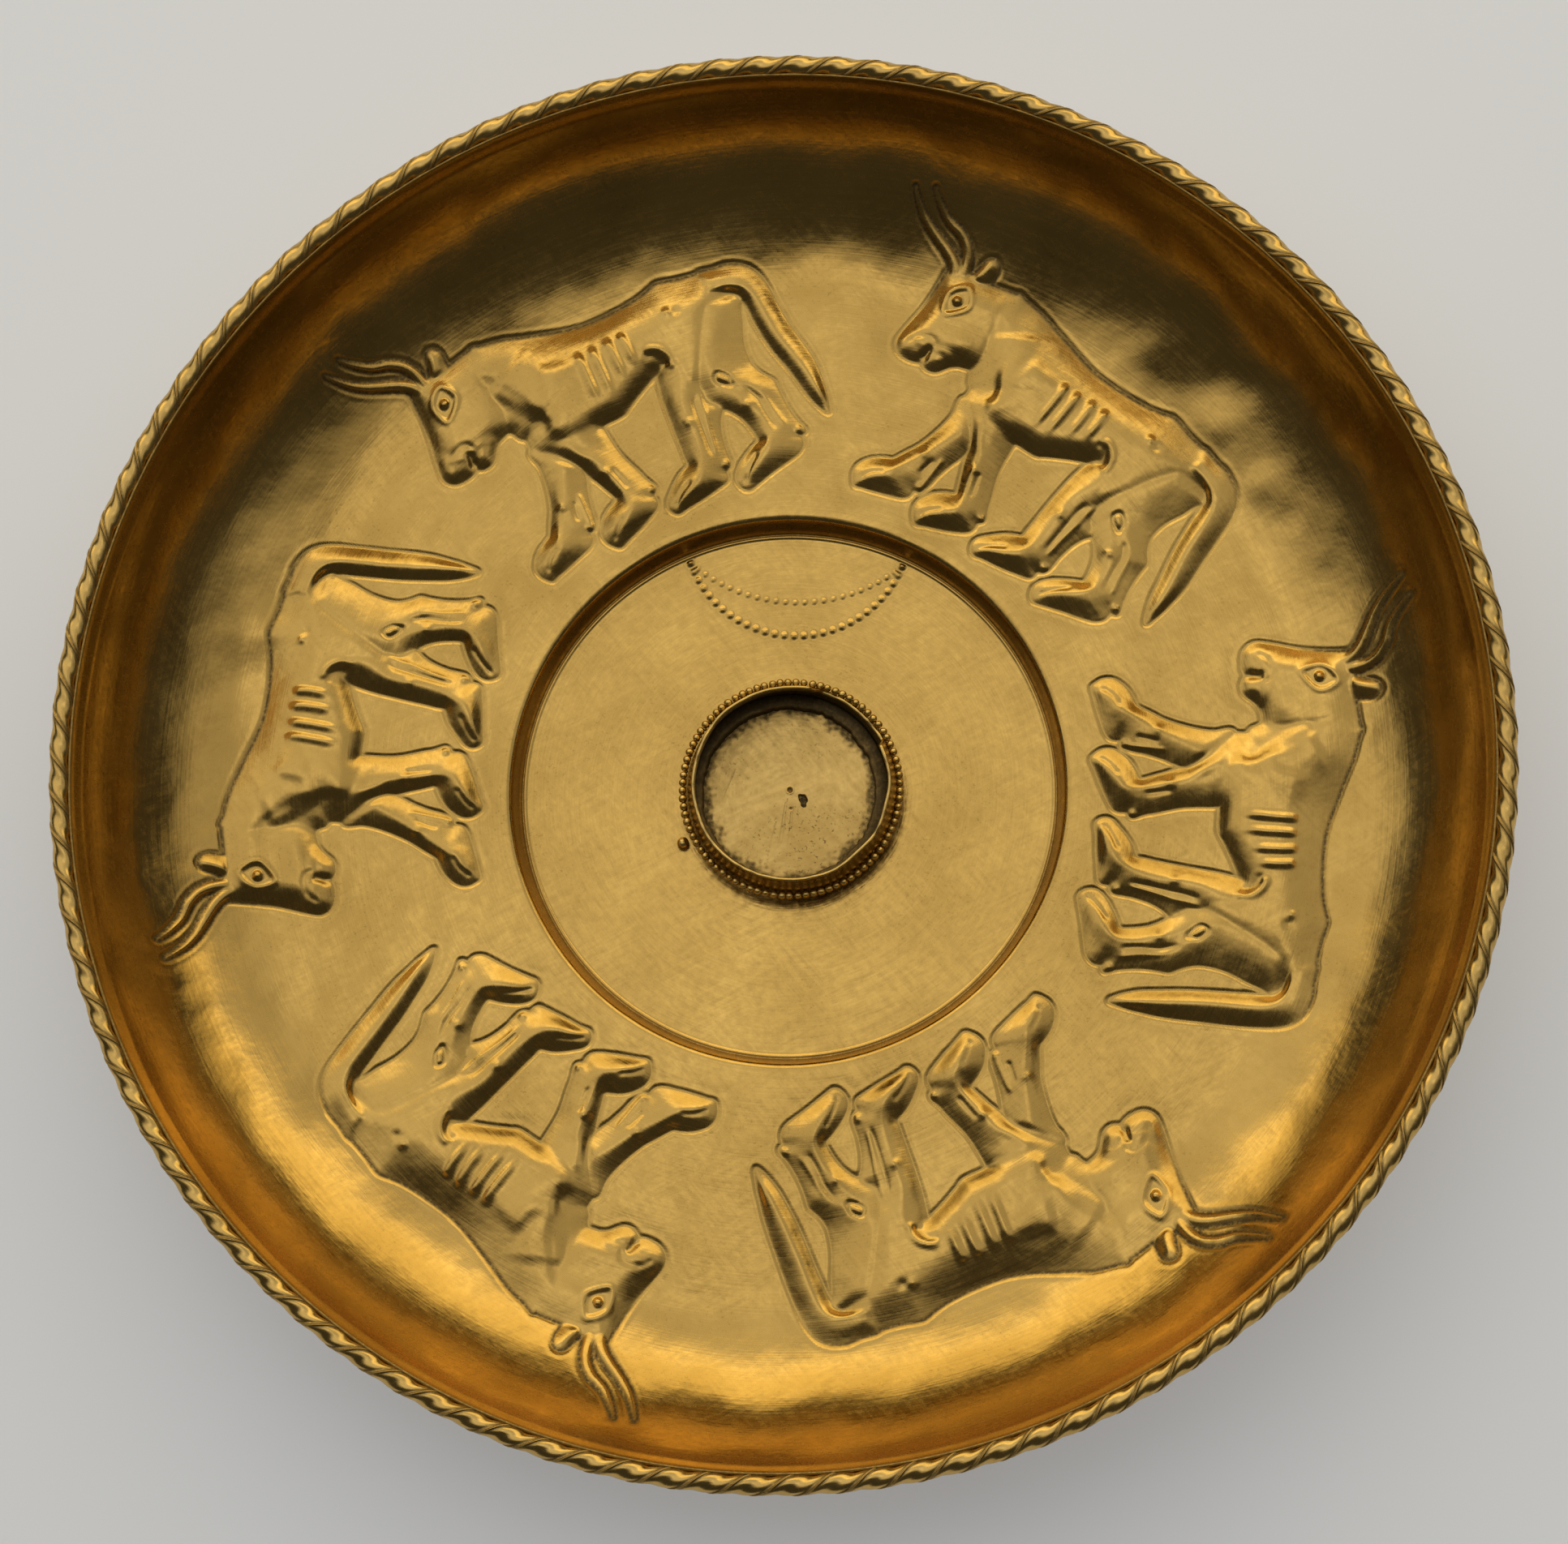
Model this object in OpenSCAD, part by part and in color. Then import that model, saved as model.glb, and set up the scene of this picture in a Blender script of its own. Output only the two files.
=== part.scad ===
// Shallow libation bowl raised from one sheet of gold. Six bulls walk round it in relief,
// a pair of twisted strips borders the lip and an empty round setting stands in the middle.
// Millimetres. Z is up, the origin is the middle of the underside, and the dotted
// crescent lies towards +Y.

/* [Dish] */
// Thickness of the sheet
sheet_t = 0.8; // [0.5:0.05:1.5]
// Radius of the flat field in the middle
field_r = 27.2; // [23:0.1:32]
// Height of the step round the field
step_h = 2.8; // [1:0.1:5]
// Radial run of the step
step_run = 1.1; // [0.4:0.1:3]
// Radius where the flat frieze ends and the wall begins
frieze_r = 52; // [46:0.5:60]
// Inner radius of the lip
lip_r = 70.1; // [64:0.1:85]
// Height of the lip above the underside
lip_h = 19.2; // [12:0.1:30]
// Facets along the curve of the wall
wall_steps = 10; // [6:1:20]

/* [Bulls] */
// Number of bulls round the frieze
bull_count = 6; // [3:1:8]
// Direction of the first bull's back, degrees from +X
bull_turn = -1; // [-30:1:30]
// Size of a bull against the drawn outline
bull_size = 1; // [0.7:0.01:1.1]
// Clear frieze between the step and the hooves
hoof_gap = 1.7; // [0.5:0.1:4]
// Height of the lowest terrace of the relief
relief_h = 0.8; // [0.4:0.05:1.2]
// Rise of each further terrace
terrace_rise = 0.5; // [0.2:0.05:0.8]
// Inset of each further terrace
terrace_inset = 0.55; // [0.3:0.05:0.9]
// Number of terraces
terraces = 3; // [1:1:4]
// Thickness of metal beside the hollow behind a figure
hollow_wall = 0.7; // [0.5:0.05:1.2]

/* [Crescent] */
// Half of the distance between the tips
crescent_half = 10.9; // [6:0.1:14]
// Clear field outside the tips
crescent_gap = 0.8; // [0.5:0.1:4]
// Dip of the upper row of dots below the tips
crescent_dip = 4; // [2:0.1:6]
// Widest part of the crescent between its two rows
crescent_width = 3.5; // [1.5:0.1:5]
// Spacing of the dots
dot_pitch = 1; // [0.8:0.05:2]
// Diameter of a dot
dot_d = 0.7; // [0.4:0.05:0.75]
// Height of a dot
dot_h = 0.3; // [0.15:0.05:0.34]

/* [Setting] */
// Outer radius of the collar at its foot
collar_r = 10.6; // [8:0.1:13]
// Outer radius of the collar at its upper edge
collar_top_r = 10.1; // [7.8:0.1:12.8]
// Height of the collar
collar_h = 6; // [4:0.1:9]
// Height of the collar's upright part
collar_foot_h = 3.6; // [2:0.1:3.9]
// Thickness of the collar
collar_t = 0.35; // [0.2:0.05:0.6]
// Start of the torn stretch, degrees from +X
tear_from = 30; // [0:1:90]
// Length of the torn stretch in degrees
tear_span = 46; // [10:1:120]
// Depth of the torn stretch below the upper edge
tear_h = 2.3; // [0.5:0.1:2.6]
// Width of the bearing ring's ledge
ledge_w = 1.45; // [0.6:0.05:3]
// Height of the bearing ring
ledge_h = 0.8; // [0.4:0.05:2]
// Thickness of the plate under the bearing ring
plate_t = 0.3; // [0.2:0.05:0.8]

/* [Granules] */
// Height of the upper row above the field
granule_h = 2.9; // [2:0.1:3.4]
// Diameter of a granule in the upper row
granule_d = 0.86; // [0.6:0.02:1.1]
// Diameter of a granule in the lower row
small_d = 0.46; // [0.36:0.02:0.56]
// Spacing of granules against their diameter
granule_pack = 0.95; // [0.85:0.01:0.97]
// Diameter of the lone granule
lone_d = 1.3; // [0.8:0.05:2]
// Direction of the lone granule, degrees from +X
lone_turn = 207; // [150:1:260]
// Clear field between the collar and the lone granule
lone_gap = 0.65; // [0.02:0.01:3]

/* [Border] */
// Width of a strip of the border where the two meet
strip_w = 1.95; // [1.2:0.05:3]
// Width of a strip's outer face
strip_face_w = 1; // [0.4:0.05:1.2]
// Thickness of a strip
strip_t = 0.6; // [0.25:0.05:0.8]
// Full turns of the twist round the lip
twist_turns = 56; // [30:1:70]
// Sections in each full turn
twist_steps = 10; // [8:1:14]
// Height of the lip above the middle of the border
border_drop = 0.2; // [0:0.05:0.8]

/* [Fit] */
// Film left between soldered pieces
film = 0.02; // [0.01:0.01:0.05]

/* [Hidden] */
$fn = 96;
gold = [0.83, 0.65, 0.25];
pale_gold = [0.72, 0.62, 0.40];
dark_gold = [0.45, 0.33, 0.13];

// Sheet profile. The wall is an arc that leaves the frieze level and ends at the lip.
frieze_z = sheet_t + step_h;
wall_run = lip_r - frieze_r;
wall_rise = lip_h - frieze_z;
wall_bend = 2 * atan2(wall_rise, wall_run);
wall_radius = wall_run / sin(wall_bend);
step_slope = atan2(step_h, step_run);
under_shift = sheet_t * tan(step_slope / 2);
lip_out_r = lip_r + sheet_t * sin(wall_bend);

function wall_point(i, grow) =
    let (a = wall_bend * i / wall_steps)
    [frieze_r + (wall_radius + grow) * sin(a),
     frieze_z + wall_radius - (wall_radius + grow) * cos(a)];
upper_side = concat(
    [[0, sheet_t], [field_r, sheet_t], [field_r + step_run, frieze_z]],
    [for (i = [0 : wall_steps]) wall_point(i, 0)]);
under_side = concat(
    [[0, 0], [field_r + under_shift, 0], [field_r + step_run + under_shift, step_h]],
    [for (i = [0 : wall_steps]) wall_point(i, sheet_t)]);
// Part of the upper side that carries the figures
figured_side = concat(
    [[field_r + step_run, frieze_z]],
    [for (i = [0 : wall_steps]) wall_point(i, 0)]);
function lifted(points, h) = [for (p = points) [p[0], p[1] + h]];
function turned_back(points) =
    [for (i = [len(points) - 1 : -1 : 0]) points[i]];

// Relief. Outlines are drawn with the hooves on y = 0 and the bull facing -X.
hoof_r = field_r + step_run + hoof_gap;
root_depth = sheet_t / 2;
// Deeper than the sheet is anywhere, measured straight down
through_depth = 6 * sheet_t;
prism_h = lip_h + through_depth;
trunk_line = [
    [-8.6, 27.4], [-7, 27.4], [-5, 27], [-3, 26.2], [-1, 25.5], [1, 24.9], [3, 24.4],
    [6, 24.2], [9, 24.3], [11.6, 24.8], [14, 24.2], [17, 23.8], [19.8, 23.4],
    [19.2, 21.1], [17.2, 19.7], [15.5, 17.3], [14, 15.1], [12.2, 13.2], [11.2, 11.3],
    [11.7, 9.4], [10.4, 7.4], [9.7, 5.2], [9.4, 3.5], [8.6, 3.2], [8.5, 2.3],
    [7.5, 1.9], [5, 1.7], [2.6, 1.4], [1.9, 2.4], [2.9, 3.7], [4.4, 4.9], [5.9, 5.4],
    [6.2, 7.2], [6.8, 11], [7.3, 14.4], [7.7, 16.2], [5.5, 15.3], [2.9, 13.9],
    [0.1, 13.8], [0.2, 10.5], [0.7, 8.2], [1.3, 5.8], [1.5, 4.9], [1, 4.4],
    [0.9, 3.3], [-1.5, 1.9], [-4.2, 0.7], [-5.2, 2.1], [-4.8, 3.5], [-3.6, 4.8],
    [-2.2, 5.6], [-2.9, 8.3], [-3.5, 10.2], [-5, 12.1], [-6.6, 13.9], [-7.5, 16.6],
    [-8.5, 20]];
head_line = [
    [-15.9, 26.3], [-16.1, 23], [-16.5, 19.5], [-16.8, 17.2], [-16.4, 16.1],
    [-15.2, 15.6], [-13.8, 15.8], [-12.3, 15.6], [-11.2, 16.4], [-10, 17.6],
    [-8.6, 17.9], [-6, 18], [-4, 22], [-5, 26.9], [-8, 27.5], [-11, 27], [-14.6, 26.9]];
far_fore_line = [
    [-7.5, 16.5], [-7.4, 13], [-7.8, 10], [-8.7, 7.2], [-9.8, 4.9], [-11.3, 4.1],
    [-12.4, 2.8], [-12.4, 1.5], [-11.6, 0.5], [-9, 1.3], [-7, 2.1], [-6.4, 3],
    [-5.8, 3.7], [-5.2, 5.6], [-4.6, 8], [-3.7, 10.6], [-4, 15]];
far_hind_line = [
    [19.2, 20.2], [18, 17.3], [16.8, 14.4], [16.4, 12.2], [17.2, 9.3], [17, 6.3],
    [17.4, 3.2], [16.7, 2.2], [15.9, 1.1], [13, 0.5], [9.9, 0], [9.3, 1.2],
    [10.5, 2.8], [13.2, 4], [13.1, 6.5], [12.3, 8.6], [11.2, 10.2], [12, 16], [16, 21.4]];
tail_line = [
    [16, 23.8], [19.8, 23.4], [21.3, 22.7], [22.2, 21.4], [22.5, 19.5], [22.2, 14],
    [21.9, 10], [21.3, 6.2], [20.5, 3.5], [19.7, 5.7], [19.4, 8.5], [19.3, 12],
    [19.4, 18], [19.3, 20], [18.2, 21.1], [16, 21.6]];
low_horn_line = [
    [-15.2, 25.2], [-16.1, 26.4], [-17.2, 27.1], [-19, 27.8], [-21, 28.8], [-23.1, 31],
    [-21, 29.6], [-19, 28.8], [-17, 28], [-15.6, 27], [-14.6, 26]];
high_horn_line = [
    [-14.8, 26.2], [-15, 27.9], [-15.7, 28.9], [-16.9, 29.5], [-18.7, 30], [-21.1, 32],
    [-18.8, 30.7], [-16.8, 30.2], [-15.1, 29.4], [-14.3, 28.1], [-13.9, 26.4]];
ear_line = [
    [-13.6, 26.6], [-13.3, 28.4], [-12.2, 29.5], [-11.2, 29], [-11.1, 27.8], [-11.5, 26.6]];

// Crescent. Both rows are arcs through the two tips.
tip_y = sqrt(pow(field_r - crescent_gap, 2) - pow(crescent_half, 2));
// Radius of the ball whose cap is one dot
dot_ball = (pow(dot_d / 2, 2) + pow(dot_h, 2)) / (2 * dot_h);
// Depth of the stub that roots a dot in the sheet
dot_root = sheet_t / 2;

// Setting
plate_r = collar_r - collar_t - film;
plate_z = sheet_t + film;
ledge_z = plate_z + plate_t + film;
collar_z = sheet_t + film;
// Reach beyond the collar of the tool that cuts the tear
tear_reach = 2;
tear_edge = min(tear_h, collar_h - collar_foot_h);

// Granules
granule_ring_r = collar_r + granule_d / 2 + film;
granule_z = collar_z + min(granule_h, collar_foot_h - granule_d / 2);
granule_n = round(360 / (2 * asin(granule_pack * granule_d / 2 / granule_ring_r)));
small_drop = (granule_d + small_d) / 2 + film;
small_ring_r = collar_r + small_d / 2 + film;
small_n = round(360 / (2 * asin(granule_pack * small_d / 2 / small_ring_r)));
// Share of the lone granule's radius that is solder foot
foot_share = 0.1;
lone_foot = lone_d / 2 * (1 - foot_share);
lone_z = sheet_t + film + lone_foot;
lone_ring_r = collar_r + lone_gap + lone_d / 2;

// Border
strip_swing = max(norm([strip_w / 2, film / 2]), norm([strip_face_w / 2, strip_t + film / 2]));
border_r = lip_out_r + film + strip_swing;
border_z = lip_h - border_drop;
twist_rings = twist_turns * twist_steps;

dish();
rim_strand_a();
rim_strand_b();
bezel_collar();
bearing_ring();
setting_floor();
granule_row_lower();
granule_row_upper();
lone_granule();

// One hammered sheet: the plain bowl, the figures raised from behind and the dotted crescent
module dish() color(gold) difference() {
    union() {
        plain_sheet();
        for (k = [0 : terraces - 1]) raised_terrace(k);
        crescent();
    }
    for (k = [0 : terraces - 1]) hollow_terrace(k);
}

module plain_sheet() rotate_extrude()
    polygon(concat(upper_side, turned_back(under_side)));

// A layer that follows the frieze and the wall between two heights above them
module figured_layer(low, high) rotate_extrude()
    polygon(concat(lifted(figured_side, high), turned_back(lifted(figured_side, low))));

module raised_terrace(k) intersection() {
    figured_layer(-root_depth, relief_h + k * terrace_rise);
    bull_prisms(k * terrace_inset);
}

module hollow_terrace(k) intersection() {
    figured_layer(-through_depth, relief_h + k * terrace_rise - sheet_t);
    bull_prisms(k * terrace_inset + hollow_wall);
}

module bull_prisms(inset) for (i = [0 : bull_count - 1])
    rotate(bull_turn - 90 + i * 360 / bull_count) translate([0, hoof_r, -through_depth])
        linear_extrude(prism_h + through_depth) scale(bull_size)
            offset(delta = -inset) bull_outline();

module bull_outline() {
    polygon(trunk_line);
    polygon(head_line);
    polygon(far_fore_line);
    polygon(far_hind_line);
    polygon(tail_line);
    polygon(low_horn_line);
    polygon(high_horn_line);
    polygon(ear_line);
}

module crescent() {
    dot_row(crescent_dip);
    dot_row(crescent_dip + crescent_width);
}

// Dots on an arc through the tips that dips by dip below them
module dot_row(dip) {
    arc_r = (pow(crescent_half, 2) + pow(dip, 2)) / (2 * dip);
    half_angle = 2 * atan2(dip, crescent_half);
    n = round(arc_r * half_angle * PI / 90 / dot_pitch);
    for (i = [0 : n]) let (a = half_angle * (2 * i / n - 1))
        translate([arc_r * sin(a), tip_y - dip + arc_r * (1 - cos(a)), sheet_t]) dot();
}

module dot() rotate_extrude() intersection() {
    translate([0, dot_h - dot_ball]) circle(dot_ball);
    translate([0, -dot_root]) square([dot_d, dot_root + dot_h]);
}

// One strip of the twisted pair, its inner face film / 2 from the middle
module twisted_strip(start) {
    near = film / 2;
    far = film / 2 + strip_t;
    section = [[-strip_w / 2, near], [0, near], [strip_w / 2, near],
               [strip_face_w / 2, far], [-strip_face_w / 2, far]];
    sides = len(section);
    points = [for (i = [0 : twist_rings - 1], c = section)
        let (turn = 360 * i / twist_rings, roll = start + turn * twist_turns,
             out = c[0] * cos(roll) - c[1] * sin(roll),
             up = c[0] * sin(roll) + c[1] * cos(roll))
        [(border_r + out) * cos(turn), (border_r + out) * sin(turn), border_z + up]];
    function at(i, j) = (i % twist_rings) * sides + j % sides;
    // The inner face is split from both edges to its middle line, so that two strips half a
    // turn apart fit, and the outer faces are split to stand out
    function halves(i, j) = j == 0
        ? [[at(i, j), at(i, j + 1), at(i + 1, j + 1)], [at(i, j), at(i + 1, j + 1), at(i + 1, j)]]
        : [[at(i, j), at(i, j + 1), at(i + 1, j)], [at(i, j + 1), at(i + 1, j + 1), at(i + 1, j)]];
    faces = [for (i = [0 : twist_rings - 1], j = [0 : sides - 1]) each halves(i, j)];
    polyhedron(points, faces);
}

module rim_strand_a() color(gold) twisted_strip(0);

module rim_strand_b() color(gold) twisted_strip(180);

// Upright ring that leans in above its foot, torn down along one stretch
module bezel_collar() color(gold) translate([0, 0, collar_z]) difference() {
    rotate_extrude() polygon([
        [collar_r - collar_t, 0], [collar_r, 0], [collar_r, collar_foot_h],
        [collar_top_r, collar_h], [collar_top_r - collar_t, collar_h],
        [collar_r - collar_t, collar_foot_h]]);
    rotate(tear_from) rotate_extrude(angle = tear_span)
        translate([collar_top_r - collar_t - tear_reach, collar_h - tear_edge])
            square([collar_r - collar_top_r + collar_t + 2 * tear_reach, tear_edge + tear_reach]);
}

module setting_floor() color(pale_gold) translate([0, 0, plate_z])
    cylinder(h = plate_t, r = plate_r);

module bearing_ring() color(dark_gold) translate([0, 0, ledge_z]) rotate_extrude()
    translate([plate_r - ledge_w, 0]) square([ledge_w, ledge_h]);

module granule_ring(ring_r, n, d) for (i = [0 : n - 1])
    rotate(i * 360 / n) translate([ring_r, 0, 0]) sphere(d = d);

module granule_row_upper() color(gold) translate([0, 0, granule_z])
    granule_ring(granule_ring_r, granule_n, granule_d);

module granule_row_lower() color(gold) translate([0, 0, granule_z - small_drop])
    granule_ring(small_ring_r, small_n, small_d);

// Single granule with a small flat where it is soldered to the field
module lone_granule() color(gold)
    rotate(lone_turn) translate([lone_ring_r, 0, lone_z]) intersection() {
        sphere(d = lone_d);
        translate([-lone_d, -lone_d, -lone_foot]) cube(2 * lone_d);
    }
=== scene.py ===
import math

import bpy
import numpy as np
from mathutils import Matrix, Vector


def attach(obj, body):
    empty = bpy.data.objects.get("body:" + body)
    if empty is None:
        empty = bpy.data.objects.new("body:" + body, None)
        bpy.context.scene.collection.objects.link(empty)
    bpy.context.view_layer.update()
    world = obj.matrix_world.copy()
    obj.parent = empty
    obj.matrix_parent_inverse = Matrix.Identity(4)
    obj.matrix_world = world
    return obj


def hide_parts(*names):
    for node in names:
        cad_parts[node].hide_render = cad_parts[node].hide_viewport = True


MM = 0.001

# Dish, in millimetres, as in the part
SHEET_T = 0.8
FIELD_R = 27.2
FRIEZE_R = 52.0
FRIEZE_Z = 3.6
LIP_R = 70.1
LIP_H = 19.2
WALL_BEND = 2 * math.atan2(LIP_H - FRIEZE_Z, LIP_R - FRIEZE_R)
WALL_RADIUS = (LIP_R - FRIEZE_R) / math.sin(WALL_BEND)
# Step between the field and the frieze, with the thin ridge at its foot
STEP_ABOVE = [
    (26.6, 0.8), (26.8, 0.82), (26.95, 0.9), (27.1, 0.9), (27.25, 0.84), (27.38, 1.0),
    (27.6, 1.7), (27.85, 2.5), (28.05, 3.05), (28.28, 3.38), (28.6, 3.55), (29.1, 3.6)]
STEP_BELOW = [
    (27.2, 0.0), (27.6, 0.05), (27.95, 0.4), (28.25, 1.2), (28.55, 2.0), (28.8, 2.45),
    (29.2, 2.73), (29.8, 2.8)]

# Mesh of the dish: points round a ring, and spacing of the rings
RING_POINTS = 1920
FINE_STEP = 0.18
FIGURES_FROM = 28.6
FIGURES_TO = 66.5
CRESCENT_FROM = 13.0

# Camera, fitted to the rim and the ring step
VIEW_AZIMUTH = 17.0
VIEW_ELEVATION = 77.708
VIEW_ROLL = -15.558
VIEW_DISTANCE = 600.0
VIEW_AIM = (-0.352, 1.714)
PHOTO_WIDTH = 1933
FOCAL_PIXELS = 7290.0
SENSOR = 36.0
# Lights, in metres and watts: place, size and power of three level panels overhead,
# and a lower panel over the crescent
LEVEL_PANELS = {
    "ceiling": ((0.0, 0.63, 1.2), (4.15, 1.9), 13.2),
    "left": ((-0.92, 0.6, 1.15), (2.5, 1.8), 4.0),
    "top": ((0.05, 0.12, 1.1), (0.5, 0.44), 0.22)}
KEY_FROM = (1, 31, 1.2)
KEY_SIZE = (2.9, 0.84)
KEY_POWER = 11.6
KEY_TINT = (1.0, 0.86, 0.5)
# A panel is a stack of lamps, so that it dims towards its edges: share of the size and of the brightness
PANEL_STEPS = [(1.0, 0.5), (0.72, 0.5)]
PANEL_GAP = 0.01
WORLD_LIGHT = 0.055
# Size and colour of the floor, and brightness added to it where it is seen
FLOOR_SIZE = 12.0
FLOOR_COLOR = (0.6, 0.61, 0.63)
FLOOR_GLOW = 0.25

# Golds: bright and deep colour, roughness and share of specks
GOLDS = {
    "dish_gold": ((0.63, 0.39, 0.1), (0.49, 0.297, 0.073), 0.23, 0.3),
    "border_gold": ((0.66, 0.42, 0.12), (0.55, 0.35, 0.1), 0.24, 0.2),
    "setting_gold": ((0.62, 0.42, 0.13), (0.46, 0.3, 0.085), 0.28, 0.5),
    # The ledge's gold is darkened as painted shade, for the ledge within the collar
    "ledge_gold": ((0.32, 0.2, 0.065), (0.18, 0.115, 0.04), 0.45, 0.8),
    "plate_gold": ((0.72, 0.47, 0.145), (0.5, 0.315, 0.09), 0.36, 0.8),
    "granule_gold": ((0.66, 0.45, 0.14), (0.5, 0.33, 0.09), 0.28, 0.4)}
# Colour of dirt and of painted shade
DIRT_AND_SHADE_COLOR = (0.06, 0.038, 0.01)
BRUSH = 0.08

# Outlines of a bull, in millimetres: y is the distance from the middle, the bull faces -x
TORSO = [
    (-8.5, 57.45), (-7, 57.35), (-5, 56.95), (-3, 56.2), (-1, 55.5), (1, 54.85), (3, 54.38),
    (5, 54.2), (7, 54.17), (9, 54.28), (10.4, 54.53), (11.6, 54.83), (12.4, 54.7),
    (14, 54.22), (16, 53.87), (18, 53.67), (19.8, 53.42), (19.5, 52.5), (19, 51.1),
    (18.2, 50.6), (17.2, 49.7), (16.3, 48.5), (15.5, 47.3), (14.8, 46.1), (14, 45.05),
    (13, 44.05), (12.2, 43.15), (11.55, 42.2), (11.2, 41.3), (11.15, 40.7), (11.35, 40.1),
    (11.65, 39.4), (10.95, 38.5), (10.35, 37.4), (9.95, 36.3), (9.65, 35.2), (9.55, 34.4),
    (9.35, 33.5), (9.05, 33.15), (8.45, 32.95), (8.5, 32.35), (8.2, 31.98), (7.5, 31.88),
    (5.5, 31.7), (3.5, 31.58), (2.6, 31.4), (2.2, 31.6), (1.95, 32.1), (1.97, 32.65),
    (2.3, 33.15), (2.9, 33.7), (3.6, 34.3), (4.4, 34.85), (5.2, 35.2), (5.9, 35.45),
    (5.97, 36.2), (6.17, 37.2), (6.4, 38.5), (6.8, 41), (7.15, 43.5), (7.5, 45.3),
    (7.7, 46.2), (6.5, 45.72), (5.5, 45.27), (4.5, 44.78), (3.5, 44.25), (2.85, 43.88),
    (2, 43.82), (1, 43.85), (0, 43.8), (0.1, 43.2), (0.17, 41.5), (0.25, 40.3),
    (0.42, 39.3), (0.7, 38.2), (0.95, 37.2), (1.1, 36.4), (1.3, 35.8), (1.5, 35.2),
    (1.45, 34.85), (0.95, 34.4), (1, 33.8), (0.85, 33.25), (0.3, 32.8), (-0.5, 32.38),
    (-1.5, 31.9), (-2.5, 31.48), (-3.5, 31.05), (-4.2, 30.72), (-4.6, 31), (-5, 31.5),
    (-5.2, 32.1), (-5.15, 32.8), (-4.8, 33.5), (-4.3, 34.2), (-3.6, 34.8), (-2.9, 35.2),
    (-2.15, 35.6), (-2.35, 36.4), (-2.65, 37.3), (-2.95, 38.3), (-3.3, 39.2), (-3.5, 40.1),
    (-3.7, 40.6), (-4.2, 41.3), (-5, 42.05), (-5.9, 43), (-6.9, 44.2), (-7.3, 45),
    (-7.4, 47.5), (-8.2, 49.5), (-8.6, 51.5), (-8.6, 54)]
HEAD = [
    (-15.9, 56.2), (-16.02, 55), (-16.1, 53), (-16.28, 51), (-16.6, 49), (-16.72, 48),
    (-16.8, 47.2), (-16.72, 46.6), (-16.4, 46.1), (-15.9, 45.75), (-15.2, 45.6),
    (-14.4, 45.65), (-13.8, 45.85), (-13.4, 46.15), (-13.1, 45.9), (-12.6, 45.68),
    (-12, 45.7), (-11.5, 46), (-11.15, 46.5), (-10.7, 47.1), (-10, 47.6), (-9.3, 47.8),
    (-8.7, 47.95), (-8.2, 47.4), (-7.6, 46.5), (-5, 46), (-3, 48), (-2, 52), (-3, 55.5),
    (-4, 56.5), (-5, 56.95), (-7, 57.35), (-8, 57.5), (-9, 57.4), (-11, 57), (-12, 56.9),
    (-14, 56.9), (-14.9, 56.7)]
TAIL = [
    (16, 53.85), (18, 53.67), (19.8, 53.42), (20.5, 53.15), (21.2, 52.75), (21.8, 52.15),
    (22.2, 51.4), (22.42, 50.5), (22.5, 49.5), (22.47, 48), (22.37, 46), (22.22, 44),
    (22.07, 42), (21.92, 40), (21.7, 38.2), (21.4, 36.7), (21.1, 35.3), (20.8, 34.3),
    (20.5, 33.4), (20.1, 34.2), (19.8, 35.2), (19.55, 36.5), (19.45, 38), (19.35, 40),
    (19.32, 42), (19.35, 44), (19.4, 46), (19.42, 47.5), (19.5, 48.7), (19.45, 49.6),
    (19.2, 50.3), (18.6, 50.9), (17.8, 51.3), (17, 51.5), (16, 51.6)]
FAR_HIND = [
    (19.2, 50), (18.8, 49.2), (18.4, 48.3), (18, 47.3), (17.5, 46.3), (17, 45.2),
    (16.7, 44.2), (16.5, 43.2), (16.42, 42.2), (16.55, 41.2), (16.8, 40.4), (17.1, 39.7),
    (17.25, 39.2), (17.12, 38.3), (17.02, 37.3), (16.98, 36.3), (17.03, 35.2),
    (17.15, 34.2), (17.35, 33.3), (17.5, 32.75), (17.1, 32.65), (16.6, 32.9), (16.7, 32),
    (16.5, 31.5), (15.9, 31.05), (15, 30.85), (13, 30.55), (11, 30.15), (9.95, 29.98),
    (9.5, 30.4), (9.3, 31), (9.35, 31.6), (9.75, 32.2), (10.5, 32.8), (11.5, 33.35),
    (12.4, 33.75), (13.2, 34), (13.25, 34.3), (13.2, 35.3), (13.05, 36.5), (12.8, 37.5),
    (12.3, 38.6), (11.75, 39.4), (11.2, 40.2), (10.2, 41), (9.5, 44), (11, 47.5), (15, 52)]
FAR_FORE = [
    (-7.4, 45), (-7.4, 43), (-7.45, 42), (-7.6, 41), (-7.8, 40), (-8.05, 39), (-8.35, 38),
    (-8.7, 37.2), (-9.1, 36.4), (-9.5, 35.5), (-9.85, 34.9), (-10.5, 34.6), (-11.3, 34.1),
    (-11.9, 33.5), (-12.35, 32.8), (-12.5, 32.2), (-12.4, 31.5), (-12.1, 31),
    (-11.65, 30.5), (-11, 30.75), (-10, 31.02), (-9, 31.35), (-8, 31.7), (-7.1, 32.05),
    (-6.55, 32.5), (-6.4, 33), (-6.5, 33.4), (-6, 33.7), (-5.8, 33.7), (-5.5, 34.3),
    (-5.3, 35), (-5.15, 36), (-4.9, 37), (-4.6, 38), (-4.2, 39), (-3.9, 40.2),
    (-3.4, 41.5), (-3, 44)]
EAR = [
    (-11.5, 56.6), (-11.35, 57.6), (-11.3, 58.4), (-11.45, 58.95), (-11.8, 59.3),
    (-12.2, 59.4), (-12.6, 59.2), (-12.85, 58.8), (-13, 58.2), (-13.2, 57.5), (-13.4, 56.6)]
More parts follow.
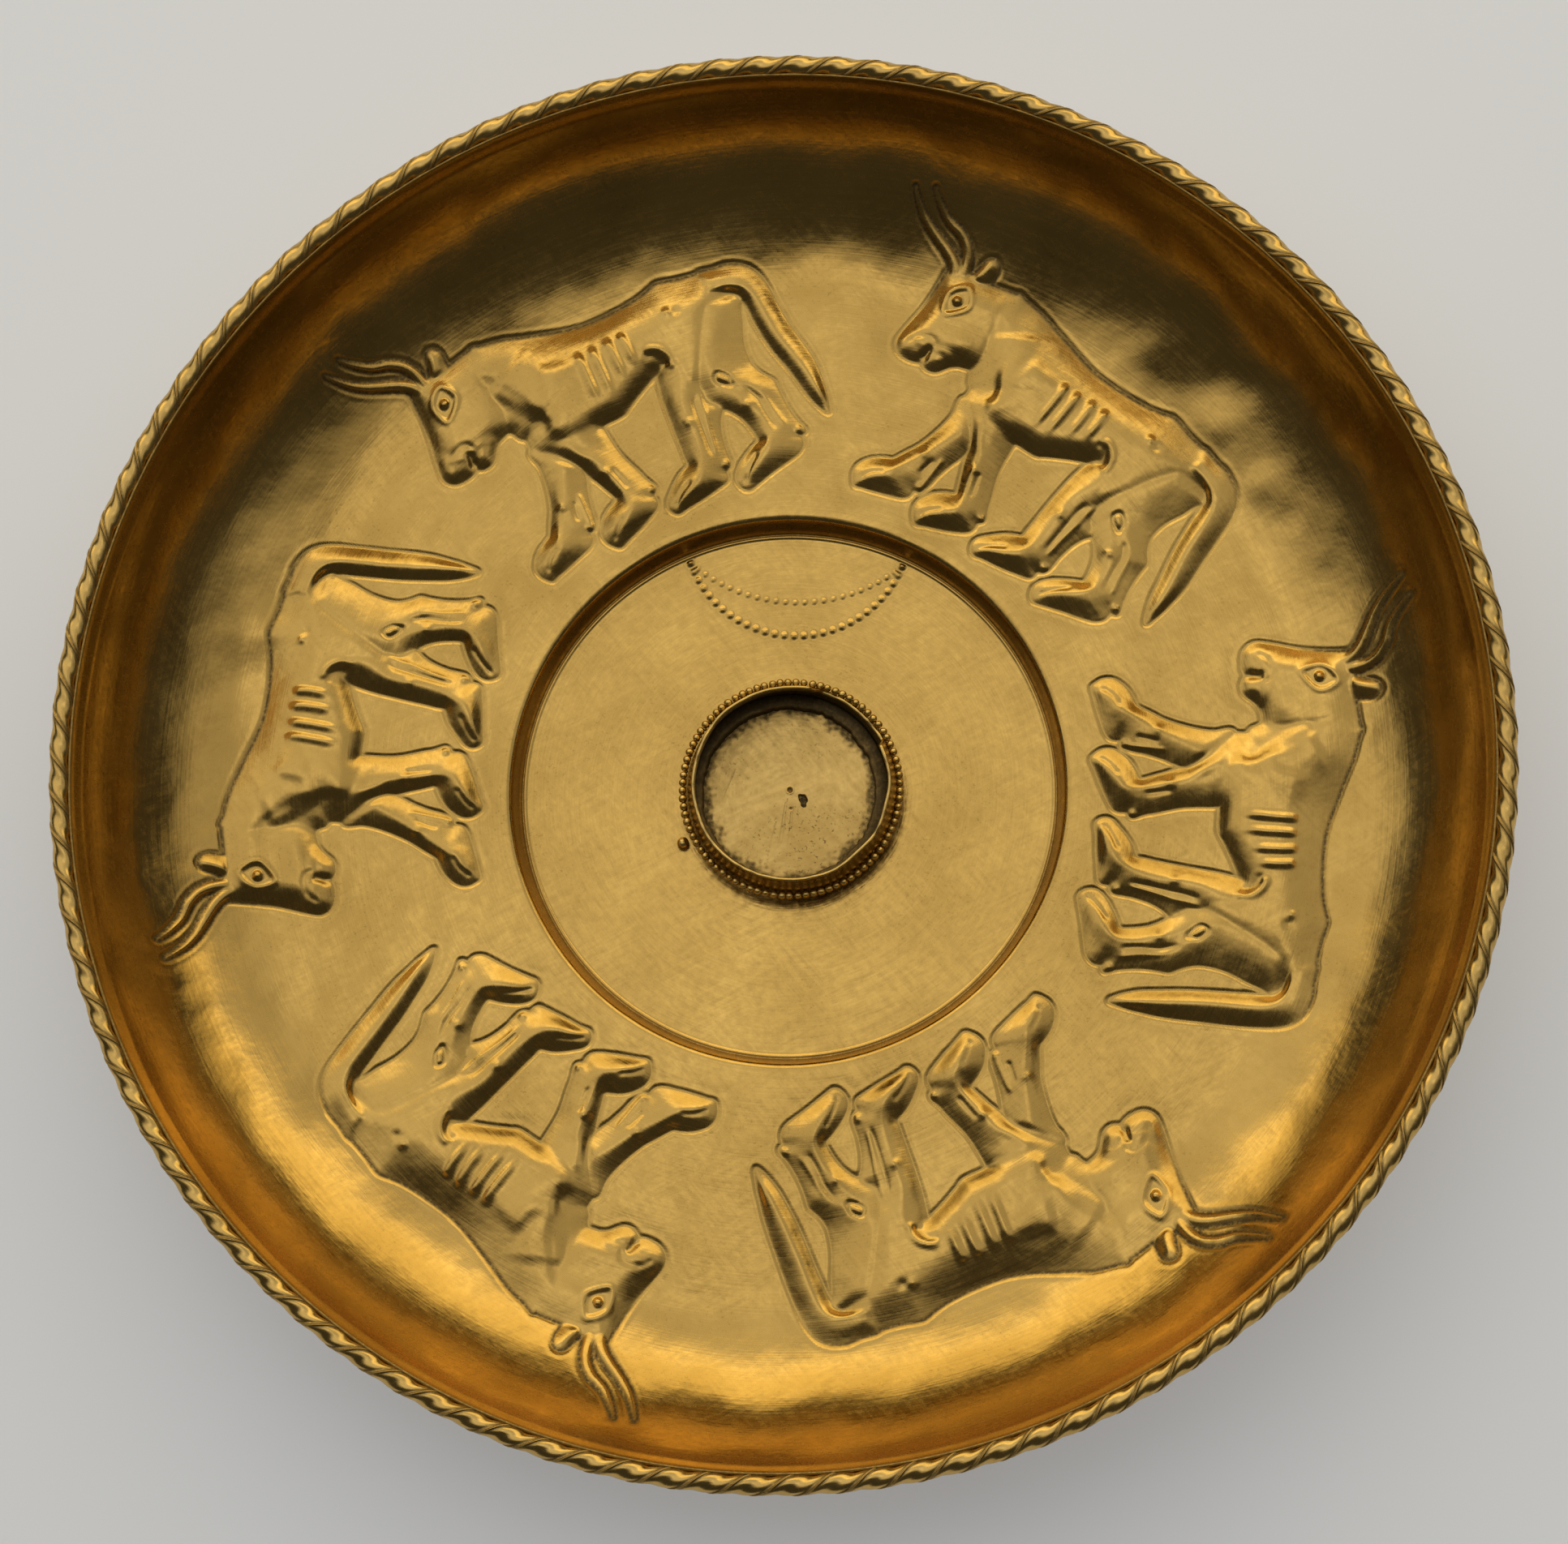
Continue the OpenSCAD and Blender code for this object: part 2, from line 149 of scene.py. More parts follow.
# Horns: x, y and half the width
LOW_HORN = [
    (-15, 55.9, 0.62), (-15.6, 56.7, 0.6), (-16.4, 57.3, 0.56), (-17.4, 57.75, 0.52),
    (-18.5, 58.15, 0.48), (-19.8, 58.65, 0.42), (-21, 59.3, 0.34), (-22, 60.1, 0.25),
    (-23.05, 61.05, 0.12)]
HIGH_HORN = [
    (-14.35, 56.4, 0.56), (-14.5, 57.2, 0.54), (-14.7, 57.9, 0.52), (-15, 58.5, 0.5),
    (-15.5, 59.1, 0.48), (-16.1, 59.5, 0.46), (-16.8, 59.85, 0.44), (-17.6, 60, 0.4),
    (-18.5, 60.25, 0.36), (-19.3, 60.7, 0.3), (-20.2, 61.3, 0.22), (-21.05, 62, 0.12)]
LOW_HORN_H = 0.42
HIGH_HORN_H = 0.38

# Fields and crests of the relief: x, y and height
BODY_FIELD = [
    (-7.6, 54.4, 1.7), (-5.5, 53.9, 1.8), (-3.5, 53, 1.88), (-1.5, 52.2, 1.88),
    (2, 51.4, 1.82), (6, 51, 1.8), (9, 51, 1.8), (11.3, 51.2, 1.85), (13.5, 51, 1.8),
    (15.2, 51, 1.7), (16, 51, 1.5), (15.4, 50.6, 1.65), (14.5, 49.8, 1.7),
    (13.3, 48, 1.7), (12.7, 46, 1.6), (12, 44.5, 1.5), (11, 43.3, 1.4), (10.1, 43.2, 1.4),
    (9.6, 44.8, 1.5), (9.5, 46.2, 1.6), (9, 47, 1.65), (8.1, 47.4, 1.7), (7, 47.1, 1.75),
    (5.8, 46.5, 1.78), (4.5, 45.9, 1.8), (2.8, 45.1, 1.8), (0.9, 44.8, 1.75),
    (-1, 44.8, 1.72), (-2.4, 44.5, 1.65), (-3.2, 43.8, 1.55), (-4, 43.6, 1.5),
    (-4.6, 44.6, 1.6), (-4.5, 45.6, 1.8), (-3.9, 46.6, 1.9), (-3.5, 48, 1.95),
    (-3.4, 50, 1.95), (-3.4, 52, 1.9), (-5, 53.4, 1.78), (-7, 54.2, 1.65)]
NECK_FIELD = [
    (-3.5, 52.6, 1.88), (-3.5, 50, 1.92), (-3.6, 48, 1.9), (-4.2, 46.4, 1.8), (-5.5, 46.9, 1.2),
    (-6.8, 48.2, 1.15), (-7.8, 49.6, 1.2), (-8.4, 51.5, 1.28), (-8.8, 53.4, 1.42),
    (-8.8, 54.8, 1.6), (-7, 54.7, 1.7), (-5, 54.1, 1.8)]
NEAR_FORE_CREST = [
    (-4, 43.4, 1.5), (-3.2, 41.8, 1.32), (-2.4, 40.8, 1.2), (-2, 39.5, 1.15),
    (-1.9, 38.7, 1.22), (-1.6, 37.5, 1.05), (-1.4, 36.5, 1.0), (-1.25, 35.4, 1.1),
    (-1.2, 34.6, 1.3), (-1.4, 34, 1.45), (-2.2, 33.3, 1.45), (-3, 32.6, 1.3),
    (-3.7, 31.9, 0.95), (-4.15, 31.1, 0.4)]
NEAR_HIND_CREST = [
    (9.8, 45.3, 1.52), (9.5, 44.3, 1.45), (9, 43.2, 1.36), (8.5, 42, 1.26),
    (8.25, 40.5, 1.2), (8.1, 39.5, 1.26), (7.9, 38, 1.1), (7.6, 36.6, 1.05),
    (7.2, 35.4, 1.1), (6.7, 34.4, 1.3), (6.2, 33.6, 1.45), (5.2, 32.95, 1.45),
    (4.2, 32.6, 1.25), (3.3, 32.25, 0.9), (2.6, 31.9, 0.4)]
HEAD_FIELD = [
    (-14.9, 54.5, 1.5), (-15, 52, 1.5), (-15.2, 50, 1.5), (-15.3, 48.3, 1.45),
    (-14.5, 47.6, 1.45), (-13.2, 48.1, 1.5), (-12.4, 48.2, 1.55), (-11, 48.5, 1.6),
    (-9.7, 49, 1.6), (-9, 49.7, 1.55), (-9, 52, 1.55), (-9.2, 54.8, 1.65),
    (-10, 55, 1.62), (-11.5, 55.2, 1.55), (-13.5, 55.4, 1.45)]
UPPER_LIP = [(-15.4, 47.1, 1.05), (-15, 47.3, 1.1), (-14.5, 47.1, 1.0)]
LOWER_LIP = [(-12.6, 46.9, 0.9), (-12.2, 47, 1.0), (-11.9, 47.3, 1.0)]
TAIL_CREST = [
    (20.55, 34.3, 0.3), (20.6, 36, 0.85), (20.5, 40, 1.0), (20.5, 44, 1.08),
    (20.7, 48, 1.15), (20.4, 50, 1.2), (19.6, 51, 1.28), (18.5, 51.4, 1.4), (16.5, 51.8, 1.5)]
FAR_HIND_CREST = [
    (15.6, 50, 1.35), (14.2, 47.8, 1.4), (13, 45.8, 1.4), (12.5, 43.8, 1.3),
    (13.4, 42.2, 1.15), (14.4, 40.8, 1.0), (15.5, 39.4, 0.8), (16, 38.7, 0.68)]
FAR_HIND_BONE = [
    (13, 41, 0.85), (13.6, 39.5, 0.95), (13.9, 38, 1.0), (14.2, 37, 0.88), (14.4, 36, 0.86),
    (14.4, 35, 0.9), (14.3, 34, 1.05), (13.9, 33.3, 1.25), (13, 32.5, 1.25),
    (12, 31.9, 1.1), (11, 31.3, 0.8), (10.3, 30.7, 0.35)]
FAR_FORE_CREST = [
    (-5.2, 43, 1.05), (-5.3, 41.8, 1.0), (-5.9, 40.6, 0.95), (-6.5, 39.2, 0.95), (-7, 38, 0.95),
    (-7.2, 37.3, 1.0), (-7.7, 36.4, 0.9), (-8.3, 35.4, 0.95), (-8.8, 34.6, 1.1),
    (-9.2, 33.8, 1.3), (-9.5, 33.2, 1.35), (-10.2, 32.6, 1.2), (-10.9, 31.8, 0.9),
    (-11.4, 31, 0.35)]
EAR_CREST = [(-12.9, 57, 0.9), (-12.6, 58, 0.85), (-12.3, 59.1, 0.6)]

# Chased lines: points, half width and height. They fade over a share of their length at both ends
STROKE_FADE = (0.15, 0.15)
STROKES = [
    ([(-1.25, 39), (-1, 37.6), (-0.75, 36.1)], 0.24, -0.15),
    ([(-6.2, 37.5), (-6.5, 36.2), (-6.7, 35)], 0.24, -0.15),
    ([(-5.4, 38.2), (-5.6, 36), (-5.8, 34)], 0.2, 0.13),
    ([(10, 42.3), (9.5, 41), (9.2, 39.5), (8.9, 38), (8.6, 36.5), (8.3, 34.8)], 0.24, -0.16),
    ([(10.7, 42.5), (10.3, 41), (10, 39.5), (9.4, 37.5), (9, 36), (8.7, 34.6)], 0.2, 0.13),
    ([(14.6, 40.6), (15, 38.5), (15, 36), (15.2, 34)], 0.24, -0.14),
    ([(15.4, 39.4), (15.7, 38), (15.8, 36), (16.1, 34)], 0.2, 0.12),
    ([(-11.7, 31.3), (-10.9, 32.5), (-9.6, 33.4)], 0.2, -0.15),
    ([(-4.5, 31.4), (-3.7, 32.5), (-2.5, 33.5)], 0.2, -0.15),
    ([(2.3, 32), (3.6, 33), (5.2, 33.8)], 0.2, -0.15),
    ([(9.7, 30.6), (11, 31.9), (12.5, 33)], 0.2, -0.15),
    ([(7.2, 48.7), (8, 48.6), (8.7, 48.2), (9.2, 47.5), (9.4, 46.7), (9.3, 45.4)], 0.38, 0.22),
    ([(7, 48), (7.8, 48), (8.3, 47.5), (8.6, 46.8), (8.6, 46)], 0.4, -0.14),
    ([(-15.9, 46.6), (-15.2, 48), (-14.2, 48.6), (-13.3, 48.6), (-12.8, 48), (-12.5, 47.4)],
     0.28, -0.12),
    ([(-13.5, 46.1), (-13.4, 46.9), (-13.3, 47.8)], 0.34, -0.34)]
RIBS = [
    [(1.15, 52.1), (1.35, 50.8), (1.3, 49), (1.2, 47.5), (1.05, 45.7)],
    [(2.8, 52), (2.85, 50.5), (2.8, 48.5), (2.7, 47), (2.6, 45.8)],
    [(4.3, 52), (4.55, 50.8), (4.6, 49.5), (4.55, 48), (4.35, 46.8)],
    [(5.9, 51.8), (6.1, 50.3), (6.1, 49), (6, 47.5)]]
RIB_H = 0.27
RIB_FRONT = 0.5
RIB_BACK = 0.32
RIB_FADE = (0.2, 0.35)
# Folds of the neck, each rising towards the body: points and height
FOLD_HALF = 0.75
FOLD_REACH = 7.0
FOLD_FADE = (0.2, 0.2)
FOLDS = [
    ([(-8.8, 52.8), (-8, 51.4), (-6.9, 49.8), (-5.8, 48.2), (-5.2, 47)], 0.26),
    ([(-3, 53), (-3.4, 51.4), (-3.8, 49.6), (-4.3, 47.6), (-4.7, 45.4), (-4.9, 44)], 0.25)]
EYE_RIM = [
    (-12.9, 55.45), (-12.05, 54.2), (-12.2, 53), (-13.9, 51.5), (-14.75, 53.3), (-14.4, 54.5),
    (-13.6, 55.3)]
EYE_BALL = (-13.45, 53.5, 0.5, 0.42)
ALMOND = [(13, 43), (13.75, 42.2), (13.8, 41.5), (13.7, 41), (12.6, 42.2)]
# Small bosses: x, y, radius and height
BOSSES = [
    (11.2, 51.4, 0.65, 0.2), (12.2, 51, 0.75, -0.14), (9.1, 33.6, 0.55, 0.2), (1.3, 35, 0.55, 0.2),
    (-5.9, 34, 0.55, 0.2), (17.1, 33.2, 0.55, 0.2), (-1.9, 38.8, 0.7, 0.15),
    (-7.5, 37.3, 0.7, 0.15), (8.1, 39.5, 0.7, 0.15), (13.9, 38.2, 0.7, 0.16)]

# Landmarks of each bull in its own upright frame; the first bull is the drawn one
LANDMARKS = {
    -1: [(-13.45, 53.5), (-11.65, 30.5), (-4.2, 30.72), (2.6, 31.4), (9.95, 29.98), (20.5, 33.4),
         (11.7, 54.83), (2.85, 43.88), (-13.4, 46.15), (-16.7, 46.6), (11.2, 51.4), (-8.6, 47.9),
         (22, 52), (7.7, 46.2), (-12.1, 59.55)],
    115: [(-16.19, 52.12), (-13.62, 30), (-5.54, 30.38), (1.46, 30.85), (8.88, 30.65),
          (19.58, 34.69), (8.23, 54.19), (0.04, 43.15), (-15.85, 44.23), (-19.77, 43.73),
          (8.88, 51.23), (-11.5, 46.04), (18.1, 51.6), (4.85, 45.85), (-15.73, 56.7)],
    54: [(-17.27, 51.23), (-14.1, 29.5), (-6.5, 30.08), (0.23, 30.54), (8.23, 30.92),
         (18.7, 35.77), (8.1, 54.2), (-1.3, 42.96), (-16.5, 44.1), (-19.85, 43.73), (7.6, 51.4),
         (-11.7, 46.4), (18.1, 51.2), (3.77, 45.85), (-16.9, 56.4)],
    -63: [(-15.35, 54.1), (-13.54, 30.15), (-5.08, 30.65), (1.58, 30.92), (9, 30.08),
          (19.38, 33.85), (10.8, 54.8), (1, 44), (-15.35, 46.15), (-18.8, 45.85),
          (10.35, 50.65), (-10.73, 47.6), (21, 52), (6.2, 46.15), (-13.9, 60.46)],
    -126: [(-16.96, 53.35), (-14, 29.8), (-5.6, 30.73), (0.8, 31.8), (8, 31.3), (18.42, 34.7),
           (8.04, 55.96), (-0.15, 43.92), (-16.1, 45.46), (-19.85, 45.46), (8.77, 52.46),
           (-11.1, 47.7), (18.7, 52), (5.4, 47), (-17.46, 58.9)],
    172: [(-17.46, 51.6), (-13.9, 29.23), (-7.08, 30.65), (0.35, 31.5), (7.08, 31.4),
          (17.4, 35.27), (7.08, 55.15), (-1.3, 44.1), (-16.5, 44.4), (-20.54, 44.3), (8.1, 52),
          (-11.5, 47.4), (16.8, 52), (3.9, 46.2), (-17.65, 57.8)]}
DRAWN_BULL = -1
WARP_REACH = 5.0

# Height map of a bull, and how far its parts reach beyond their outlines
MAP_STEP = 0.08
MAP_X = (-25.0, 24.5)
MAP_Y = (27.5, 64.0)
MARGIN = 3.0
# Share of the written heights on fields and crests, and the roundness of the slopes,
# which reach a little into a field
FIELD = 0.66
CREST = 0.64
FIELD_CURVE = 1.8
CREST_CURVE = 1.4
FIELD_INSET = 1.3
FORM_SOFT = 0.18
EDGE_SOFT = 0.12
# Ground round a bull: a groove, a raised line and a sunken band
GROOVE_AT = 0.24
GROOVE_W = 0.17
GROOVE_D = 0.1
LINE_AT = 0.62
LINE_W = 0.2
LINE_H = 0.06
SUNK_W = 1.4
SUNK_D = 0.1

# Crescent
CRESCENT_HALF = 10.9
CRESCENT_TIP_Y = 24.1
CRESCENT_ROWS = [(4.0, 0.36, 0.12), (7.5, 0.46, 0.17)]
DOT_PITCH = 1.0

# Unevenness of the sheet: height, wave, seed, and the radius and span over which it sets in
RIPPLE_WAVES = 11
UNEVEN = [(0.09, 13, 3, 42, 14), (0.015, 4.5, 4, 29, 2), (0.02, 17, 5, -1, 1)]
# Dents in the sheet: x, y, radius and height
DENTS = [
    (36.9, 46.5, 5.0, 0.35), (42.8, 39.0, 4.5, 0.3), (47.9, 32.2, 4.0, 0.3),
    (45.5, 43.5, 6.0, -0.45), (-53.8, 15.3, 4.0, 0.35), (-57.0, 10.0, 5.0, -0.3)]

# Setting
COLLAR_R = 10.6
COLLAR_TOP_R = 10.1
COLLAR_H = 6.0
COLLAR_FOOT_H = 3.6
COLLAR_T = 0.35
COLLAR_LEAN = 0.5
TEAR_FROM = 28.0
TEAR_SPAN = 50.0
TEAR_H = 2.9
COLLAR_Z = 0.82
COLLAR_POINTS = 480
COLLAR_LEVELS = 30
PLATE_R = 10.23
PLATE_T = 0.3
PLATE_Z = 0.82
PLATE_POINTS = 360
# Marks in the plate: a punched dot, a pit with its half sizes, and scratches by x and y of both ends
PUNCH_AT = (0.1, 0.38)
PIT_AT = (1.47, -0.65)
PIT_HALF = (0.42, 0.56)
SCRATCHES = [
    (-0.3, -1, -0.9, -5.6), (-0.1, -0.6, -0.5, -5.2), (0.3, -1.9, 0.1, -5.6),
    (0.5, -1.4, 0.3, -5.4), (-1.2, -3, -2.2, -7.8), (-5.6, 2.4, -6.8, -0.6)]
LEDGE_W = 1.45
LEDGE_H = 0.8
LEDGE_Z = 1.14
LEDGE_POINTS = 360

# Granules, with the rings and sides of a grain's mesh
GRAIN_MESH = (9, 16)
GRANULE_D = 0.86
GRANULE_H = 2.9
SMALL_D = 0.46
GRANULE_PACK = 0.95
LONE_D = 1.3
LONE_TURN = 207.0
LONE_R = 11.9

# Border: two strips, each with a thin flange at both edges and a domed back
STRIP_W = 2.16
STRIP_T = 0.88
FLANGE_W = 0.11
FLANGE_T = 0.13
FILM = 0.02
TWIST_TURNS = 56
TWIST_STEPS = 28
BORDER_R = 71.775
BORDER_Z = 18.84
# Lip, thinned towards its edge, and the solder between it and the border; the lip's edge and the pocket at
# the solder are darkened as painted shade under the border
LIP_T = 0.35
LIP_FROM = 2.0
LIP_SHADE = 0.6
SOLDER_Z = 18.25
SOLDER_W = 0.4
SOLDER_OUT = 0.5


def smooth_line(points, closed=False, step=0.35):
    """Curve through the points, sampled about every step."""
    p = np.array(points, float)
    if closed:
        ends = np.vstack([p[-1:], p, p[:2]])
    else:
        ends = np.vstack([2 * p[0] - p[1], p, 2 * p[-1] - p[-2]])
    out = []
    for a, b, c, d in zip(ends, ends[1:], ends[2:], ends[3:]):
        n = max(1, math.ceil(np.hypot(c[0] - b[0], c[1] - b[1]) / step))
        t = np.arange(n)[:, None] / n
        out.append(0.5 * (2 * b + (c - a) * t + (2 * a - 5 * b + 4 * c - d) * t ** 2
                          + (3 * b - a - 3 * c + d) * t ** 3))
    if not closed:
        out.append(p[-1:])
    return np.vstack(out)


def ease(t):
    t = np.clip(t, 0, 1)
    return t * t * (3 - 2 * t)


def bell(t):
    return np.exp(-t ** 2)


def boss(dx, dy, radius):
    return np.exp(-(dx ** 2 + dy ** 2) / (0.6 * radius) ** 2)


def turns(n):
    return np.arange(n) * 2 * math.pi / n


def on_circle(r, turn):
    return r * np.cos(turn), r * np.sin(turn)


def ripple(x, y, wave, seed):
    """Smooth seeded unevenness of about unit height."""
    rng = np.random.default_rng(seed)
    total = np.zeros(np.shape(x))
    for _ in range(RIPPLE_WAVES):
        turn, phase = rng.uniform(0, 2 * math.pi, 2)
        f = 2 * math.pi / wave * rng.uniform(0.6, 1.5)
        total += np.sin(f * (x * math.cos(turn) + y * math.sin(turn)) + phase)
    return total / math.sqrt(RIPPLE_WAVES)


# Height map of the drawn bull

GX, GY = np.meshgrid(np.arange(*MAP_X, MAP_STEP), np.arange(*MAP_Y, MAP_STEP))


def window(points, margin):
    """Part of the map round the points."""
    lo = np.min(points[:, :2], 0) - margin
    hi = np.max(points[:, :2], 0) + margin
    j0, j1 = (int(np.clip((v - MAP_X[0]) / MAP_STEP, 0, GX.shape[1])) for v in (lo[0], hi[0]))
    i0, i1 = (int(np.clip((v - MAP_Y[0]) / MAP_STEP, 0, GX.shape[0])) for v in (lo[1], hi[1]))
    return np.s_[i0:i1, j0:j1]


def nearest(points, gx, gy, closed):
    """Distance to a line, the share of its length there, and the side, 1 on the left."""
    p = points[:, :2]
    q = np.vstack([p[1:], p[:1]]) if closed else p[1:]
    best = np.full(gx.shape, 1e9)
    along = np.zeros(gx.shape)
    side = np.zeros(gx.shape)
    done = 0.0
    for a, b in zip(p, q):
        d = b - a
        length = math.hypot(*d)
        if length < 1e-9:
            continue
        ex, ey = gx - a[0], gy - a[1]
        u = np.clip((ex * d[0] + ey * d[1]) / length ** 2, 0, 1)
        cross = d[0] * ey - d[1] * ex
        far = (ex - u * d[0]) ** 2 + (ey - u * d[1]) ** 2
        near = far < best
        best[near] = far[near]
        along[near] = done + u[near] * length
        side[near] = np.sign(cross[near])
        done += length
    return np.sqrt(best), along / done, side


def inside(points, gx, gy):
    odd = np.zeros(gx.shape, bool)
    p = points[:, :2]
    for (x1, y1), (x2, y2) in zip(p, np.vstack([p[1:], p[:1]])):
        if y1 != y2:
            odd ^= ((gy < y1) != (gy < y2)) & (gx < (x2 - x1) * (gy - y1) / (y2 - y1) + x1)
    return odd


def on_map(win, height, distance):
    """Height and distance in a window, as maps of full size."""
    full_h, full_d = np.zeros(GX.shape), np.full(GX.shape, MARGIN)
    full_h[win], full_d[win] = height, distance
    return full_h, full_d


def relief_part(outline, fields, crests):
    """Height of one part and its signed distance, on the whole map.

    The height is zero at the outline, as given on the fields and crests, and rounded between."""
    line = smooth_line(outline, True)
    win = window(line, MARGIN)
    gx, gy = GX[win], GY[win]
    d_out = nearest(line, gx, gy, True)[0]
    within = inside(line, gx, gy)
    d_field, d_crest = np.full(gx.shape, 1e9), np.full(gx.shape, 1e9)
    samples = []
    for f in fields:
        f = smooth_line(f, True, 0.5)
        d = nearest(f, gx, gy, True)[0]
        d = np.where(inside(f, gx, gy), np.maximum(FIELD_INSET - d, 0), FIELD_INSET + d)
        d_field = np.minimum(d_field, d)
        samples.append(f * (1, 1, FIELD))
    for c in crests:
        c = smooth_line(c, False, 0.5)
        d_crest = np.minimum(d_crest, nearest(c, gx, gy, False)[0])
        samples.append(c * (1, 1, CREST))
    num, den = np.zeros(gx.shape), np.zeros(gx.shape)
    for x, y, h in np.vstack(samples):
        w = ((gx - x) ** 2 + (gy - y) ** 2 + 0.02) ** -2.5
        num += w * h
        den += w
    share = d_out / (d_out + np.minimum(d_field, d_crest) + 1e-6)
    on_crest = ease(2 * d_field / (d_field + d_crest + 1e-6) - 0.5)
    height = num / den * (1 - (1 - share) ** (FIELD_CURVE + (CREST_CURVE - FIELD_CURVE) * on_crest))
    return on_map(win, np.where(within, height * ease(d_out / EDGE_SOFT), 0),
                  np.where(within, -d_out, np.minimum(d_out, MARGIN)))


def horn(path, height):
    """Rounded, tapering ridge, and its signed distance."""
    line = smooth_line(path, False, 0.3)
    win = window(line, MARGIN)
    d, along, _ = nearest(line, GX[win], GY[win], False)
    half = np.interp(along, np.linspace(0, 1, len(line)), line[:, 2])
    rise = height * (half / line[0, 2]) ** 0.6
    return on_map(win, rise * np.sqrt(np.clip(1 - (d / half) ** 2, 0, 1)), d - half)


def near_line(points, reach, fade, closed=False):
    """Part of the map near a line, the distance to its left, and the fading at its ends."""
    line = smooth_line(points, closed, 0.25)
    win = window(line, reach)
    d, along, side = nearest(line, GX[win], GY[win], closed)
    return win, d * side, 1 if closed else ease(along / fade[0]) * ease((1 - along) / fade[1])


def add_stroke(h, points, half, amount, closed=False):
    win, s, faded = near_line(points, 4 * half, STROKE_FADE, closed)
    h[win] += amount * bell(s / half) * faded


def add_rib(h, points):
    """Ridge with a gentle front and a steep back edge."""
    win, s, faded = near_line(points, 1.8, RIB_FADE)
    h[win] += RIB_H * bell(s / np.where(s > 0, RIB_BACK, RIB_FRONT)) * faded


def add_fold(h, points, amount):
    """Rise to the left of a line, steep at the line and sinking away behind it."""
    win, s, faded = near_line(points, FOLD_HALF + FOLD_REACH, FOLD_FADE)
    rise = ease((s + FOLD_HALF) / (2 * FOLD_HALF)) * (1 - ease((s - FOLD_HALF) / FOLD_REACH))
    h[win] += amount * rise * faded


def add_eye(h):
    line = smooth_line(EYE_RIM, True, 0.2)
    win = window(line, 1.0)
    gx, gy = GX[win], GY[win]
    d = nearest(line, gx, gy, True)[0]
    within = inside(line, gx, gy)
    x, y, r, top = EYE_BALL
    ball = top * np.sqrt(np.clip(1 - ((gx - x) ** 2 + (gy - y) ** 2) / r ** 2, 0, 1))
    h[win] += 0.14 * bell(d / 0.24)
    h[win] -= np.where(within, 0.14 * ease((d - 0.15) / 0.4), 0)
    h[win] += ball


def blurred(a, sigma):
    """Gaussian blur of the map; sigma in millimetres."""
    n = max(1, int(3 * sigma / MAP_STEP))
    k = np.exp(-0.5 * (np.arange(-n, n + 1) * MAP_STEP / sigma) ** 2)
    k /= k.sum()
    for axis in (0, 1):
        pad = [(n, n) if i == axis else (0, 0) for i in (0, 1)]
        wide = np.pad(a, pad, mode="edge")
        size = a.shape[axis]
        a = sum(w * np.take(wide, range(i, i + size), axis) for i, w in enumerate(k))
    return a


def bull_map():
    """Height, darkening and wear of the drawn bull on the map."""
    torso, torso_d = relief_part(TORSO, [BODY_FIELD, NECK_FIELD], [NEAR_FORE_CREST, NEAR_HIND_CREST])
    head, head_d = relief_part(HEAD, [HEAD_FIELD, NECK_FIELD], [UPPER_LIP, LOWER_LIP])
    tail, tail_d = relief_part(TAIL, [], [TAIL_CREST])
    hind, hind_d = relief_part(FAR_HIND, [], [FAR_HIND_CREST, FAR_HIND_BONE])
    fore, fore_d = relief_part(FAR_FORE, [], [FAR_FORE_CREST])
    ear, ear_d = relief_part(EAR, [], [EAR_CREST])
    low, low_d = horn(LOW_HORN, LOW_HORN_H)
    high, high_d = horn(HIGH_HORN, HIGH_HORN_H)
    near = np.maximum(torso, head)
    near_d = np.minimum(torso_d, head_d)
    fore *= 1 - 0.4 * bell(np.maximum(near_d, 0) / 0.3)
    h = blurred(np.maximum.reduce([near, hind, fore, tail, ear]), FORM_SOFT)
    h = np.maximum.reduce([h, low, high])
    for points, half, amount in STROKES:
        add_stroke(h, points, half, amount)
    for rib in RIBS:
        add_rib(h, rib)
    for points, amount in FOLDS:
        add_fold(h, points, amount)
    add_eye(h)
    for x, y, radius, amount in BOSSES:
        h += amount * boss(GX - x, GY - y, radius)
    add_stroke(h, ALMOND, 0.2, -0.25, True)
    sil = np.minimum.reduce([near_d, hind_d, fore_d, tail_d, ear_d, low_d, high_d])
    out = np.maximum(sil, 0)
    ground = -GROOVE_D * bell((out - GROOVE_AT) / GROOVE_W)
    ground -= SUNK_D * bell(out / SUNK_W)
    ground += LINE_H * bell((out - LINE_AT) / LINE_W)
    h = np.where(sil > 0, h + ground, np.maximum(h, 0) - SUNK_D)
    h = blurred(h, 0.1)
    hollow = blurred(h, 0.45) - h
    upper = ease((GY - 50) / 5)
    horns = bell(np.minimum(np.maximum(low_d, 0), np.maximum(high_d, 0)) / 0.5)
    line = bell((sil - 0.12) / 0.2)
    # Darker along the outline, most along the back, on the ground round the horns, and in hollows; lighter
    # on raised parts as wear
    dirt_and_shade = line * (0.15 + 0.85 * upper) + 0.4 * horns * (sil > 0) + 1.3 * np.clip(hollow - 0.06, 0, 1)
    wear_and_sheen = np.clip(-hollow * 3, 0, 1)
    return h, np.clip(dirt_and_shade, 0, 1), wear_and_sheen


def sampled(field, x, y):
    """Value of a map between its points."""
    u = np.clip((x - MAP_X[0]) / MAP_STEP, 0, field.shape[1] - 1.001)
    v = np.clip((y - MAP_Y[0]) / MAP_STEP, 0, field.shape[0] - 1.001)
    j, i = u.astype(int), v.astype(int)
    u, v = u - j, v - i
    return ((field[i, j] * (1 - u) + field[i, j + 1] * u) * (1 - v)
            + (field[i + 1, j] * (1 - u) + field[i + 1, j + 1] * u) * v)


